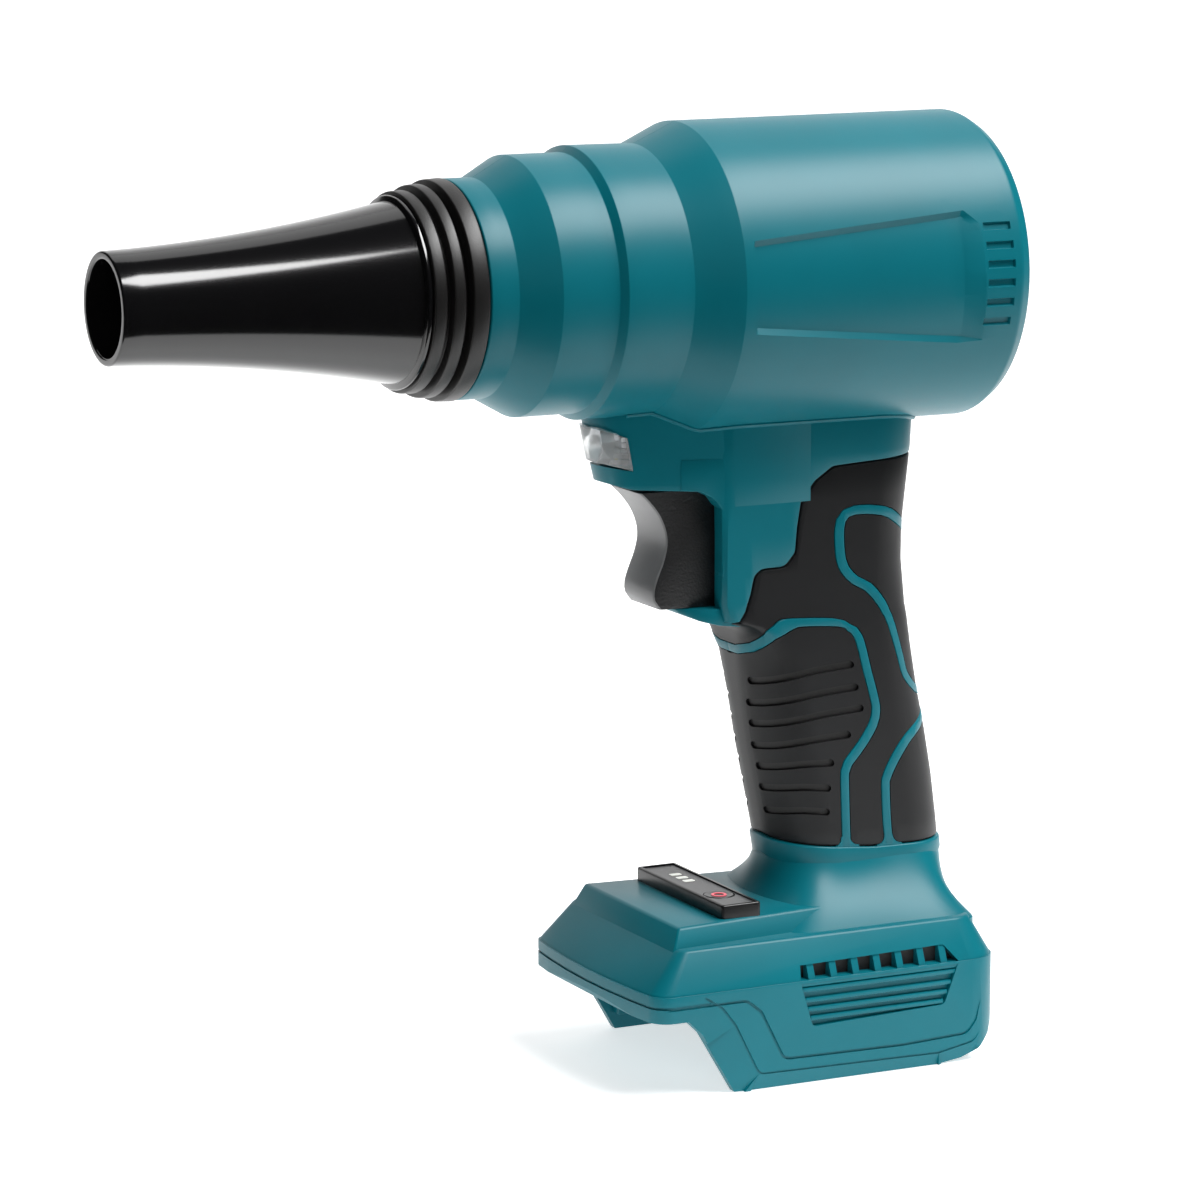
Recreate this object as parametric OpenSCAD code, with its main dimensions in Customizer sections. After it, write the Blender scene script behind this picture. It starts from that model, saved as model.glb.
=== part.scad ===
// Hand-held cordless jet blower with a slide-on battery foot.
// Frame: the origin is the centre of the air outlet, +X runs along the air axis
// towards the rear intake, +Z is up and -Y is the tool's left side. Millimetres.

/* [Nozzle] */
// Radius of the air outlet
mouth_r = 13.2; // [10:0.1:18]
// Wall thickness of the nozzle at its mouth
nozzle_wall = 2.2; // [1.6:0.1:3.5]
// Length of the tapered tube, from the mouth to the collar
nozzle_len = 84; // [60:1:140]
// Length of the straight land inside the mouth
land_len = 10; // [5:1:20]
// Outer radius of the tube where it meets the collar
nozzle_root_r = 25.4; // [21:0.1:28]
// Outer radius of the collar's largest rib
collar_r = 30.7; // [28:0.1:36]
// Length of the ribbed collar
collar_len = 15.3; // [10:0.1:30]
// Depth of the grooves between the collar's ribs
rib_depth = 2.6; // [1:0.1:3]
// Number of ribs on the collar
rib_count = 3; // [2:1:4]
// Gap between the collar and the barrel
collar_gap = 0.4; // [0.3:0.05:1]
// Length of the spigot that plugs into the barrel
spigot_len = 14; // [12:0.5:20]
// Height of the three bayonet lugs above the spigot
lug_h = 1.2; // [0.8:0.1:1.3]
// Angle that a bayonet lug covers
lug_angle = 24; // [15:1:30]
// Angle that the nozzle turns from locked to released
lug_turn = 40; // [34:1:60]

/* [Barrel] */
// Outer radius of the main barrel
barrel_r = 44; // [40:0.5:54]
// Length of the main barrel behind its front cone
barrel_len = 91.6; // [85:0.2:120]
// Outer radius of the waist ahead of the main barrel
waist_r = 38; // [36:0.5:40]
// Outer radius of the ring ahead of the waist
ring_r = 36.3; // [33:0.1:37]
// Outer radius of the nozzle socket
socket_r = 30.5; // [30:0.1:33]
// Length of the nozzle socket's outer cylinder
socket_len = 8.4; // [6:0.1:12]
// Length of the cone behind the socket
front_cone_len = 10.5; // [8:0.5:16]
// Length of the ring ahead of the waist
ring_len = 17; // [10:0.5:25]
// Length of the waist
waist_len = 20; // [12:0.5:30]
// Length of the cone between waist and main barrel
rear_cone_len = 13; // [8:0.5:20]
// Wall thickness of the two housing halves
wall = 2.4; // [2:0.1:3.2]
// Depth of the shallow recess on each side of the barrel
recess_depth = 0.9; // [0.4:0.1:1.4]

/* [Handle] */
// Angle that the handle leans back
lean = 10; // [5:0.5:18]
// Front to back size of the handle
grip_depth = 57; // [54:0.5:64]
// Side to side size of the handle
grip_width = 34; // [32:0.5:40]
// Height of the handle's lower end above the outlet axis, as a negative number
grip_foot_z = -172; // [-190:1:-168]
// Thickness of the rubber skin on the handle
skin = 1.6; // [1:0.1:2.2]

/* [Trigger] */
// Width of the trigger
trigger_w = 19; // [15:0.5:21]
// Distance that the trigger travels
trigger_travel = 6.5; // [4:0.5:6.5]
// Height of the trigger
trigger_h = 33.8; // [30:0.2:34]
// Gap all round the trigger
trigger_gap = 0.4; // [0.3:0.05:0.6]

/* [Foot] */
// Length of the foot
foot_len = 115.6; // [112:0.2:140]
// Width of the foot
foot_w = 80.8; // [76:0.2:100]
// Height of the skirts below the ridge line
skirt_h = 30; // [26:0.5:36]
// Height of the deck above the ridge line
deck_h = 17; // [15:0.5:20]
// Wall thickness of the skirts
skirt_wall = 4; // [3:0.1:5]
// Width of the inward rails that hold a battery
rail_w = 3.8; // [3:0.1:5]
// Height of those rails
rail_h = 4; // [3:0.1:5]

/* [Air mover] */
// Wall thickness of the fan duct
duct_wall = 2; // [1.6:0.1:3]
// Outer radius of the motor pod in the middle of the duct
pod_r = 17.5; // [16.5:0.5:20]
// Number of impeller blades
blade_count = 11; // [7:1:13]
// Number of stator vanes that hold the motor pod
vane_count = 7; // [5:1:9]
// Radial gap between the blade tips and the duct
tip_gap = 0.6; // [0.4:0.05:1.2]
// Radius of the rotor shaft
shaft_r = 2; // [1.5:0.1:2.5]
// Outer radius of the two ball bearings
bearing_r = 5.5; // [5:0.1:6.5]

/* [Fits] */
// Gap between fixed pieces that nest in each other
nest_gap = 0.2; // [0.1:0.05:0.4]
// Radial clearance of shafts, plungers and the nozzle spigot
run_gap = 0.05; // [0.02:0.01:0.08]
// Radius of the housing screws
screw_r = 1.5; // [1.25:0.05:2]
// Gap between a screw and the boss that it sits in
screw_gap = 0.1; // [0.05:0.05:0.2]

/* [Hidden] */
$fn = 64;
soft_fn = 32;
eps = 0.01;
cut = 1;

// Stations along the air axis
collar_x = nozzle_len;
socket_x = collar_x + collar_len + collar_gap;
cone_a_x = socket_x + socket_len;
ring_x = cone_a_x + front_cone_len;
step_len = 2;
waist_x = ring_x + ring_len + step_len;
cone_b_x = waist_x + waist_len;
barrel_x = cone_b_x + rear_cone_len;
barrel_end = barrel_x + barrel_len;
lip_len = 3.2;
lip_drop = 2.2;
bore_r = barrel_r - wall;
socket_bore_r = socket_r - 2.6;
spigot_r = socket_bore_r - run_gap;
land_end = cone_a_x + 2.8;
lug_x = land_end + 0.4;
lug_len = spigot_len + socket_x - lug_x;

// Stations inside the barrel, worked back from the rear end
grille_flange = 2;
grille_x = barrel_end - 7.6;
screen_t = 0.8;
screen_x = grille_x - grille_flange - screen_t - nest_gap;
duct_r = bore_r - 0.5;
duct_bore_r = duct_r - duct_wall;
duct_end = screen_x - nest_gap;
duct_len = 76;
duct_x = duct_end - duct_len;
impeller_len = 23;
impeller_x = duct_end - 8 - impeller_len;
pod_len = 36;
pod_x = impeller_x - 2 - pod_len;
pod_wall = 1.8;
can_r = pod_r - pod_wall - nest_gap;
can_wall = 1.2;
core_r = can_r - can_wall - nest_gap;
cap_len = 6;
core_x = pod_x + cap_len + 5;
core_len = pod_len - 2 * cap_len - 10;
rotor_r = 6;
air_gap = 0.5;
shaft_x = pod_x + 1;
shaft_end = impeller_x + impeller_len + 6;

// Heights and stations of the foot and the handle
foot_half = foot_w / 2;
foot_x = 142.4;
foot_end = foot_x + foot_len;
deck_z = grip_foot_z - 8;
ridge_z = deck_z - deck_h;
roof_z = ridge_z - 7.6;
skirt_z = ridge_z - skirt_h;
band_z = ridge_z + 11.5;
floor_t = 2.4;
bay_half = foot_half - skirt_wall;
bay_end = foot_end - 8;
grip_mid_x = 215;
grip_mid_z = -100;
neck_x = 210.5;
neck_width = grip_width - 1;
neck_depth = grip_depth + 14;
neck_z = -barrel_r;
nose_x = foot_x + 0.1;
nose_r = 11;
nose_top = 4.5 - waist_r;
nose_bottom = neck_z - 11.5;

function lean_x(z) = grip_mid_x + (grip_mid_z - z) * tan(lean);

// Trigger stations
trigger_top = neck_z - 15.2;
trigger_z = trigger_top - trigger_h;
grip_top_z = trigger_z - 3;
trigger_x = nose_x + 12.2;
trigger_back = trigger_x + 31.3;
trigger_mid_z = trigger_top - 17;
switch_x = trigger_back + trigger_travel + 2.5;
switch_len = 21;
plunger_r = 2.5;
plunger_len = 17;

// Battery contacts and boards
terminal_len = 34;
terminal_x = foot_end - 18 - terminal_len;
terminal_half = 18;
terminal_h = 13;
blade_span = 12;
blade_t = 0.8;
board_z = ridge_z + 4.5;
board_t = 1.6;

// Control panel on the deck
panel_x = foot_x + 36.3;
panel_len = 12.6;
panel_half = 26.9;
panel_h = 4;
panel_rim = 1.2;
panel_floor = 1.4;
button_y = -13;
button_r = 4.4;
gauge_y = 10;
gauge_pitch = 4.2;

// Housing screws, as places on the side of the tool
function grip_site(ahead, z) = [lean_x(z) + ahead, z];
screw_sites = [
    [nose_x + 23.5, neck_z - 6],
    [neck_x + 21.5, neck_z - 8],
    grip_site(-16.2, grip_top_z - 11),
    grip_site(16.7, grip_top_z),
    grip_site(-15.2, grip_foot_z + 20),
    [foot_x + 15.6, ridge_z + 6],
    [237, ridge_z + 1.5],
];
screw_len = 20;
screw_head_r = 2.9;
screw_head_h = 2.2;
boss_r = 4;
boss_half = grip_width / 2 - 5;
boss_bore_len = 11;

// Turns a shape that stands on +Z so that it runs along +X from station x.
module along_x(x) {
    translate([x, 0, 0]) rotate([0, 90, 0]) children();
}

// Revolves an outline of [station, radius] points about the air axis.
module revolve(points) {
    along_x(0) rotate_extrude() polygon([for (p = points) [p[1], p[0]]]);
}

// A plain ring about the air axis.
module ring(x, len, outer, inner) {
    along_x(x) difference() {
        cylinder(r = outer, h = len);
        translate([0, 0, -cut]) cylinder(r = inner, h = len + 2 * cut);
    }
}

// Extrudes an outline of [x, z] points across the tool.
module side_prism(half) {
    rotate([90, 0, 0]) linear_extrude(height = 2 * half, center = true) children();
}

// A box given by its lowest and highest corners.
module block(low, high) {
    translate(low) cube(high - low);
}

// Outline with two round ends.
module stadium(depth, width) {
    straight = depth - width;
    square([straight, width], center = true);
    for (s = [-1, 1]) translate([s * straight / 2, 0]) circle(d = width);
}

// Half of space on the left (-1) or right (+1) side of the tool.
module half_space(side) {
    reach = 400;
    translate([-reach / 4, side > 0 ? 0 : -reach, -reach]) cube([2 * reach, reach, 2 * reach]);
}

// Nozzle ---------------------------------------------------------------

// The tube swells from mouth to collar along a parabola.
nozzle_mouth_r = mouth_r + nozzle_wall;
nozzle_steps = 12;
nozzle_slope = 0.03;
function tube_r(t) = nozzle_mouth_r + nozzle_slope * nozzle_len * t
    + (nozzle_root_r - nozzle_mouth_r - nozzle_slope * nozzle_len) * t * t;
function tube_line(first, inset) = [
    for (i = [0:nozzle_steps])
        let (t = first + (1 - first) * i / nozzle_steps) [nozzle_len * t, tube_r(t) - inset]
];

collar_seat_r = nozzle_root_r - 0.4;

module nozzle() {
    spigot_end = socket_x + spigot_len;
    throat_r = spigot_r - 2.4;
    root_x = collar_x + collar_len;
    color("#151617") difference() {
        union() {
            revolve(concat(
                [[0, 0]],
                tube_line(0, 0),
                [[collar_x, collar_seat_r], [root_x, collar_seat_r], [root_x, spigot_r],
                 [spigot_end, spigot_r], [spigot_end, 0]]
            ));
            for (i = [0:2]) rotate([i * 120, 0, 0]) bayonet_lug();
        }
        along_x(-cut) cylinder(r = mouth_r, h = land_len + 2 * cut);
        revolve(concat(
            [[land_len, 0], [land_len, mouth_r]],
            [for (p = tube_line(land_len / nozzle_len, nozzle_wall)) if (p[0] > land_len) p],
            [[root_x, collar_seat_r - 2.2], [root_x + 4, throat_r],
             [spigot_end + cut, throat_r], [spigot_end + cut, 0]]
        ));
        ring(socket_x + 3, 2.4, spigot_r + cut, spigot_r - 1.4);
    }
}

module bayonet_lug() {
    half = lug_angle / 2;
    reach = 2 * spigot_r;
    intersection() {
        ring(lug_x, lug_len, spigot_r + lug_h, spigot_r - 1);
        along_x(lug_x) linear_extrude(height = lug_len)
            polygon([[0, 0], [reach * cos(half), reach * sin(half)], [reach * cos(half),
                -reach * sin(half)]]);
    }
}

// Ribs step up in size towards the barrel.
module nozzle_collar() {
    pitch = collar_len / rib_count;
    groove = pitch * 0.3;
    step = 1.5;
    color("#1c1d1e") difference() {
        union() {
            for (i = [0:rib_count - 1])
                ring(collar_x + i * pitch, pitch - groove, collar_r - step * (rib_count - 1 - i),
                    collar_seat_r + eps);
            for (i = [0:rib_count - 1])
                ring(collar_x + i * pitch, pitch,
                    collar_r - step * (rib_count - 1 - i) - rib_depth, collar_seat_r + eps);
        }
    }
}

module nozzle_seal() {
    color("#303030") ring(socket_x + 3 + nest_gap, 2, spigot_r + run_gap / 2, spigot_r - 1.4 + nest_gap);
}

// Housing --------------------------------------------------------------

module barrel_outside() {
    revolve([
        [socket_x, 0], [socket_x, socket_r], [cone_a_x, socket_r], [ring_x, ring_r],
        [ring_x + ring_len, ring_r], [waist_x, waist_r], [cone_b_x, waist_r],
        [barrel_x, barrel_r], [barrel_end - lip_len, barrel_r],
        [barrel_end - lip_len / 3, barrel_r - lip_drop / 3], [barrel_end, barrel_r - lip_drop],
        [barrel_end, 0],
    ]);
}

module barrel_inside() {
    lip_r = bore_r - 2.4;
    lug_room = socket_bore_r + lug_h + 0.6;
    revolve([
        [socket_x - cut, 0], [socket_x - cut, socket_bore_r], [land_end, socket_bore_r],
        [land_end, lug_room], [ring_x, ring_r - wall], [ring_x + ring_len, ring_r - wall],
        [waist_x, waist_r - wall], [cone_b_x, waist_r - wall], [barrel_x, bore_r],
        [grille_x, bore_r], [grille_x, lip_r], [barrel_end + cut, lip_r], [barrel_end + cut, 0],
    ]);
    for (i = [0:2]) rotate([i * 120 - lug_turn, 0, 0]) lug_entry();
}

// Notch that lets a bayonet lug through the socket before it is turned.
module lug_entry() {
    half = lug_angle / 2 + 1;
    reach = 2 * socket_bore_r;
    length = land_end - socket_x + 2 * cut;
    intersection() {
        ring(socket_x - cut, length, socket_bore_r + lug_h + 0.3, socket_bore_r - 1);
        along_x(socket_x - cut) linear_extrude(height = length)
            polygon([[0, 0], [reach * cos(half), reach * sin(half)], [reach * cos(half),
                -reach * sin(half)]]);
    }
}

// The handle leans back, so its section is extruded along a leaning axis.
module leaning(top_z, bottom_z) {
    translate([lean_x(top_z), 0, top_z]) rotate([0, 180 - lean, 0])
        linear_extrude(height = (top_z - bottom_z) / cos(lean)) children();
}

// Horizontal slice of the handle; two hulls that share a slice meet exactly.
module handle_slice(x, z, depth, width, inset) {
    translate([x, 0, z]) linear_extrude(height = 0.5)
        stadium(depth - 2 * inset, width - 2 * inset, $fn = soft_fn);
}

module grip_slice(z, inset) {
    handle_slice(lean_x(z), z, grip_depth, grip_width, inset);
}

// The grip keeps one section; above it the handle widens into the neck.
module grip_body(inset) {
    hull() {
        grip_slice(grip_foot_z - 6, inset);
        grip_slice(grip_top_z, inset);
    }
    hull() {
        grip_slice(grip_top_z, inset);
        handle_slice(neck_x, neck_z + 10, neck_depth, neck_width, inset);
    }
}

// Front of the neck, which carries the lamp above the trigger.
module neck_nose() {
    side_half = neck_width / 2 - 0.5;
    hull() {
        translate([nose_x + nose_r, 0, nose_bottom])
            cylinder(r = nose_r, h = nose_top - nose_bottom, $fn = soft_fn);
        block([trigger_back, -side_half, trigger_top + 0.4], [trigger_back + 6, side_half, nose_top - 2.5]);
    }
}

// Hook below the trigger that guards the finger.
module finger_hook() {
    tip_x = trigger_back - 18;
    root_x = trigger_back + 10;
    side_prism(trigger_w / 2 + 1.5)
        polygon([[root_x, trigger_z + 1], [tip_x, trigger_z + 1], [tip_x + 1.5, trigger_z - 3],
                 [tip_x + 6, trigger_z - 5], [root_x - 12, trigger_z - 6.5], [root_x, trigger_z - 9]]);
}

// Flat cheeks on both sides of the trigger.
module trigger_cheeks() {
    front = trigger_back - 8;
    rear = trigger_back + 20;
    top = neck_z - 11;
    side_prism(neck_width / 2 - 1)
        polygon([[front, top], [rear, top], [rear, trigger_z - 6],
                 [front + 7, trigger_z - 4], [front, trigger_z + 3]]);
}

// Plan of the foot: a gently bowed nose and round corners.
module foot_plan(inset = 0) {
    bow_r = 274;
    nose_r = 6;
    tail_r = 11;
    intersection() {
        union() {
            translate([foot_x + nose_r, inset - foot_half])
                square([foot_len - nose_r - tail_r, 2 * (foot_half - inset)]);
            translate([foot_x + inset, nose_r - foot_half])
                square([foot_len - 2 * inset, 2 * (foot_half - nose_r)]);
            for (s = [-1, 1]) {
                translate([foot_x + nose_r, s * (foot_half - nose_r)]) circle(r = nose_r - inset);
                translate([foot_end - tail_r, s * (foot_half - tail_r)]) circle(r = tail_r - inset);
            }
        }
        translate([foot_x + bow_r + inset, 0]) circle(r = bow_r, $fn = 128);
    }
}

module foot_lower() {
    intersection() {
        translate([0, 0, skirt_z]) linear_extrude(height = skirt_h) foot_plan();
        side_prism(foot_half + cut) polygon([
            [foot_x - cut, ridge_z + cut], [foot_x - cut, ridge_z - 1], [foot_x + 1.4, roof_z],
            [foot_x + 12.6, roof_z], [foot_x + 17, roof_z - 4], [foot_x + 27.8, skirt_z],
            [foot_end - 17, skirt_z], [foot_end - 7, skirt_z + 3.2], [foot_end - 1.6, skirt_z + 10],
            [foot_end + cut, ridge_z - 4], [foot_end + cut, ridge_z + cut],
        ]);
    }
}

// Sloping band between the ridge line and the deck.
module foot_band() {
    slab = 0.5;
    hull() {
        translate([0, 0, ridge_z - slab]) linear_extrude(height = slab) foot_plan(0.3, $fn = soft_fn);
        translate([foot_x + 13.5, 5.4 - foot_half, band_z - slab])
            cube([foot_len - 17.5, foot_w - 10.8, slab]);
    }
}

// Raised deck that carries the control panel.
module foot_deck() {
    front = foot_x + 14.6;
    front_half = panel_half + 3.1;
    rear_half = panel_half - 4.4;
    neck = panel_x + 17.3;
    rear = lean_x(grip_foot_z) + 4;
    translate([0, 0, band_z - cut]) linear_extrude(height = deck_z - band_z + cut)
        polygon([[front, -front_half], [front, front_half], [neck, rear_half],
                 [rear, rear_half], [rear, -rear_half], [neck, -rear_half]]);
}

// Flare that spreads the handle into the foot.
module foot_flare() {
    slab = 0.5;
    flare_x = panel_x + 13.3;
    hull() {
        translate([lean_x(grip_foot_z), 0, grip_foot_z])
            linear_extrude(height = slab) stadium(grip_depth + 3, grip_width + 4, $fn = soft_fn);
        translate([flare_x, 6 - foot_half, band_z - 1]) cube([foot_end - 3 - flare_x, foot_w - 12, slab]);
    }
}

module battery_bay() {
    difference() {
        block([foot_x - cut, -bay_half, skirt_z - cut], [bay_end, bay_half, roof_z]);
        for (s = [-1, 1])
            translate([foot_x + 27, s * (bay_half - rail_w / 2), skirt_z + 5 + rail_h / 2])
                cube([2 * foot_len, rail_w, rail_h], center = true);
    }
}

module screw_bosses() {
    for (p = screw_sites)
        translate([p[0], 0, p[1]]) rotate([90, 0, 0]) cylinder(r = boss_r, h = 2 * boss_half,
            center = true);
}

module foot_bosses() {
    for (p = screw_sites)
        if (p[1] < grip_foot_z)
            translate([p[0], 0, p[1]]) rotate([90, 0, 0]) cylinder(r = boss_r, h = foot_w - 14,
                center = true);
}

module screw_holes() {
    for (p = screw_sites) translate([p[0], 0, p[1]]) rotate([-90, 0, 0]) {
        translate([0, 0, -boss_bore_len]) cylinder(r = screw_r + screw_gap, h = 2 * boss_bore_len);
        translate([0, 0, screw_len / 2 - screw_head_h]) cylinder(r = screw_head_r + nest_gap, h = foot_w);
    }
}

// Room inside the shell for everything that the tool holds.
module housing_inside() {
    leaning(grip_top_z + 40, grip_foot_z - 4)
        stadium(grip_depth - 2 * (skin + wall), grip_width - 2 * (skin + wall));
    neck_half = neck_width / 2 - 2 * wall;
    neck_front = trigger_back + trigger_travel + 1;
    throat_x = lean_x(grip_foot_z) - 21.7;
    foot_in = foot_half - 10;
    lead_half = 7.5;
    block([neck_front, -neck_half, grip_top_z], [neck_x + 28.5, neck_half, neck_z + 8]);
    block([trigger_back - 18, -lead_half, trigger_top + 3], [switch_x + 10, lead_half, neck_z + 8]);
    block([throat_x, -12, ridge_z + 4], [throat_x + 40, 12, grip_foot_z - 2]);
    block([foot_x + 15.6, -foot_in, roof_z + floor_t], [foot_end - 14, foot_in, band_z - 3]);
    block([foot_x + 17.6, -20, band_z - 5], [panel_x + 13.3, 20, deck_z - floor_t]);
}

// Pocket that the trigger slides into.
module trigger_pocket() {
    block([trigger_x - 5, -trigger_w / 2 - trigger_gap, trigger_z - trigger_gap],
          [trigger_back + trigger_travel + 1.5, trigger_w / 2 + trigger_gap, trigger_top + trigger_gap]);
}

module lamp_pocket() {
    block([nose_x - 6, -nose_r - cut, lens_z - nest_gap], [lens_end + 0.6, nose_r + cut,
        lens_z + lens_h + nest_gap]);
    block([lens_end + 0.2, -lamp_half - 0.6, lens_z - nest_gap],
          [lens_end + 7.2, lamp_half + 0.6, lens_z + lens_h - 1]);
}

// Shallow recess and short slots on each side of the barrel.
module barrel_marks() {
    recess_x = barrel_x + 3.3;
    slot_x = barrel_end - 15.8;
    slot_pitch = 5.35;
    difference() {
        side_prism(barrel_r + cut) polygon([
            [recess_x, 13.9], [recess_x + 67.3, 19.2], [recess_x + 71.3, 15.8],
            [recess_x + 73.6, -17.6], [recess_x + 66, -18], [recess_x + 0.8, -11.9],
        ]);
        along_x(barrel_x - cut) cylinder(r = barrel_r - recess_depth, h = barrel_len);
    }
    for (i = [0:5], s = [-1, 1])
        translate([slot_x, s * barrel_r, 14.6 - i * slot_pitch - 1.2])
            translate([0, -2, 0]) cube([9.5, 4, 2.4]);
}

// Vent openings through the band and a louvred recess below them, on both sides.
vent_x = 191;
vent_len = 50;
vent_count = 8;
module foot_vents() {
    pitch = vent_len / vent_count;
    for (i = [0:vent_count - 1])
        block([vent_x + i * pitch, -foot_half - cut, ridge_z + 0.4],
              [vent_x + (i + 1) * pitch - 2.1, foot_half + cut, ridge_z + 4.4]);
}

module louvre_recess() {
    depth = 1.2;
    rib = 1.1;
    difference() {
        side_prism(foot_half + cut)
            polygon([[190.5, ridge_z - 1], [194.5, ridge_z - 13.8], [236.5, ridge_z - 13.8],
                [242.2, ridge_z - 1]]);
        block([180, depth - foot_half, ridge_z - 30], [260, foot_half - depth, ridge_z + 10]);
        for (i = [0:3])
            block([180, -foot_half, ridge_z - 4 - i * 2.8], [260, foot_half, ridge_z - 4 - i * 2.8 + rib]);
    }
}

// Side outline of the rubber: over the rear of the neck and all round the grip.
ring_top_z = grip_foot_z + 8;
module rubber_region(grow = 0) {
    front = grip_depth + 20;
    reach = 26.1;
    side_prism(grip_width) polygon([
        [neck_x + reach + front, neck_z - 9.6 + grow], [neck_x + 3.5 - grow, neck_z - 10.9 + grow],
        [neck_x - 4.5 - grow, neck_z - 16], [neck_x - 8.3 - grow, trigger_z + 21.5],
        [neck_x - 9.5 - grow, trigger_z + 13.5 + grow], [trigger_back + 4.8 - grow,
            trigger_z + 10.2 + grow],
        [trigger_back + 1.2 - grow, trigger_z + 3.5 + grow], [trigger_back - 0.5 - grow,
            trigger_z - 7 + grow],
        [trigger_back - 16, trigger_z - 13 + grow], [trigger_back - 16 + front - 60, ring_top_z - grow],
        [neck_x + reach + front, ring_top_z - 3 - grow],
    ]);
}

module handle_core() {
    grip_body(skin);
    difference() {
        union() {
            grip_body(0);
            trigger_cheeks();
            finger_hook();
        }
        rubber_region(nest_gap);
    }
}

module housing_half(side) {
    color("#26707d") intersection() {
        difference() {
            union() {
                difference() {
                    union() {
                        barrel_outside();
                        handle_core();
                        neck_nose();
                        foot_lower();
                        foot_band();
                        foot_deck();
                        foot_flare();
                    }
                    housing_inside();
                    battery_bay();
                    foot_vents();
                }
                screw_bosses();
                foot_bosses();
            }
            barrel_inside();
            screw_holes();
            trigger_pocket();
            lamp_pocket();
            barrel_marks();
            louvre_recess();
            panel_window();
            terminal_window();
            lead_hole();
        }
        half_space(side);
    }
}

module panel_window() {
    block([panel_x - panel_len / 2 + 1.6, 2 - panel_half, band_z - 4],
          [panel_x + panel_len / 2 - 1.6, panel_half - 2, deck_z + cut]);
}

module terminal_window() {
    block([terminal_x - nest_gap, -terminal_half - nest_gap, roof_z - cut],
          [terminal_x + terminal_len + nest_gap, terminal_half + nest_gap, roof_z + floor_t + cut]);
}

plug_x = neck_x - 4.5;
plug_len = 16;
plug_half = 8;
module lead_hole() {
    block([plug_x - 4, -plug_half - 1, neck_z - 6], [plug_x + plug_len + 4, plug_half + 1, neck_z + 8]);
}

module housing_left() { housing_half(-1); }
module housing_right() { housing_half(1); }

module grip_half(side) {
    color("#1d1e20") intersection() {
        difference() {
            grip_body(0);
            grip_body(skin - run_gap);
            screw_holes();
            trigger_pocket();
        }
        rubber_region();
        half_space(side);
    }
}

module grip_left() { grip_half(-1); }
module grip_right() { grip_half(1); }

module housing_screws() {
    color("#8b8d90") for (p = screw_sites)
        translate([p[0], 0, p[1]]) rotate([-90, 0, 0]) difference() {
            union() {
                translate([0, 0, -screw_len / 2]) cylinder(r = screw_r, h = screw_len - eps);
                translate([0, 0, screw_len / 2 - screw_head_h + nest_gap])
                    cylinder(r = screw_head_r, h = screw_head_h - nest_gap);
            }
            translate([0, 0, screw_len / 2 - 1.2]) cylinder(r = 1.3, h = 2, $fn = 6);
        }
}

// Air mover ------------------------------------------------------------

seal_t = 1;
module seal_place(x) {
    ring(x, seal_t * 2, duct_r + cut, duct_r - seal_t);
}

module fan_duct() {
    color("#3a3d40") difference() {
        union() {
            ring(duct_x, duct_len, duct_r, duct_bore_r);
            ring(pod_x, pod_len, pod_r, pod_r - pod_wall);
            for (i = [0:vane_count - 1]) rotate([180 + i * 360 / vane_count, 0, 0]) stator_vane();
        }
        seal_place(duct_x + 6);
        seal_place(duct_end - 10);
    }
}

// A vane starts inside the pod's wall and ends inside the duct's wall.
module stator_vane() {
    vane_t = 1.8;
    vane_len = pod_len - 8;
    sweep_angle = 14;
    intersection() {
        ring(pod_x, pod_len, duct_bore_r + duct_wall / 2, pod_r - pod_wall / 2);
        translate([pod_x + pod_len / 2, 0, (pod_r + duct_bore_r) / 2]) rotate([0, 0, sweep_angle])
            cube([vane_len, vane_t, duct_bore_r - pod_r + 8], center = true);
    }
}

module duct_seals() {
    color("#2b2b2b") for (x = [duct_x + 6, duct_end - 10])
        ring(x + nest_gap, seal_t * 2 - 2 * nest_gap, bore_r - nest_gap, duct_r - seal_t + nest_gap);
}

module rear_grille() {
    rim_r = bore_r - nest_gap;
    body_r = bore_r - 2.4 - nest_gap;
    face_x = barrel_end - 4;
    bar = 1.6;
    ring_gap = 5.4;
    color("#1f2123") union() {
        ring(grille_x - grille_flange, grille_flange - nest_gap, rim_r, body_r - 2.2);
        ring(grille_x - grille_flange, barrel_end - grille_x + 1, body_r, body_r - 2.2);
        for (r = [10:ring_gap:body_r - 4]) ring(face_x, 2.4, r + bar / 2, r - bar / 2);
        along_x(face_x) cylinder(r = 5, h = 2.4);
        for (i = [0:11]) rotate([i * 30, 0, 0])
            translate([face_x, -bar / 2, 4]) cube([2.4, bar, body_r - 5]);
    }
}

module intake_screen() {
    pitch = 6;
    hole = 4.8;
    reach = floor((bore_r - 6) / pitch);
    color("#4a4d50") along_x(screen_x) linear_extrude(height = screen_t) difference() {
        circle(r = bore_r - nest_gap);
        for (i = [-reach:reach], j = [-reach:reach])
            if (norm([i, j]) * pitch < bore_r - 6)
                translate([i * pitch, j * pitch]) square(hole, center = true);
    }
}

module tail_cone() {
    cone_len = 26;
    tip_r = 4;
    color("#3a3d40") revolve([
        [pod_x - nest_gap, 0], [pod_x - nest_gap, pod_r], [pod_x - nest_gap - cone_len * 0.4, pod_r * 0.86],
        [pod_x - nest_gap - cone_len * 0.8, pod_r * 0.5], [pod_x - nest_gap - cone_len, tip_r],
        [pod_x - nest_gap - cone_len, 0],
    ]);
}

module motor_can() {
    color("#9a9da1") ring(pod_x + cap_len, pod_len - 2 * cap_len, can_r, can_r - can_wall);
}

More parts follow.
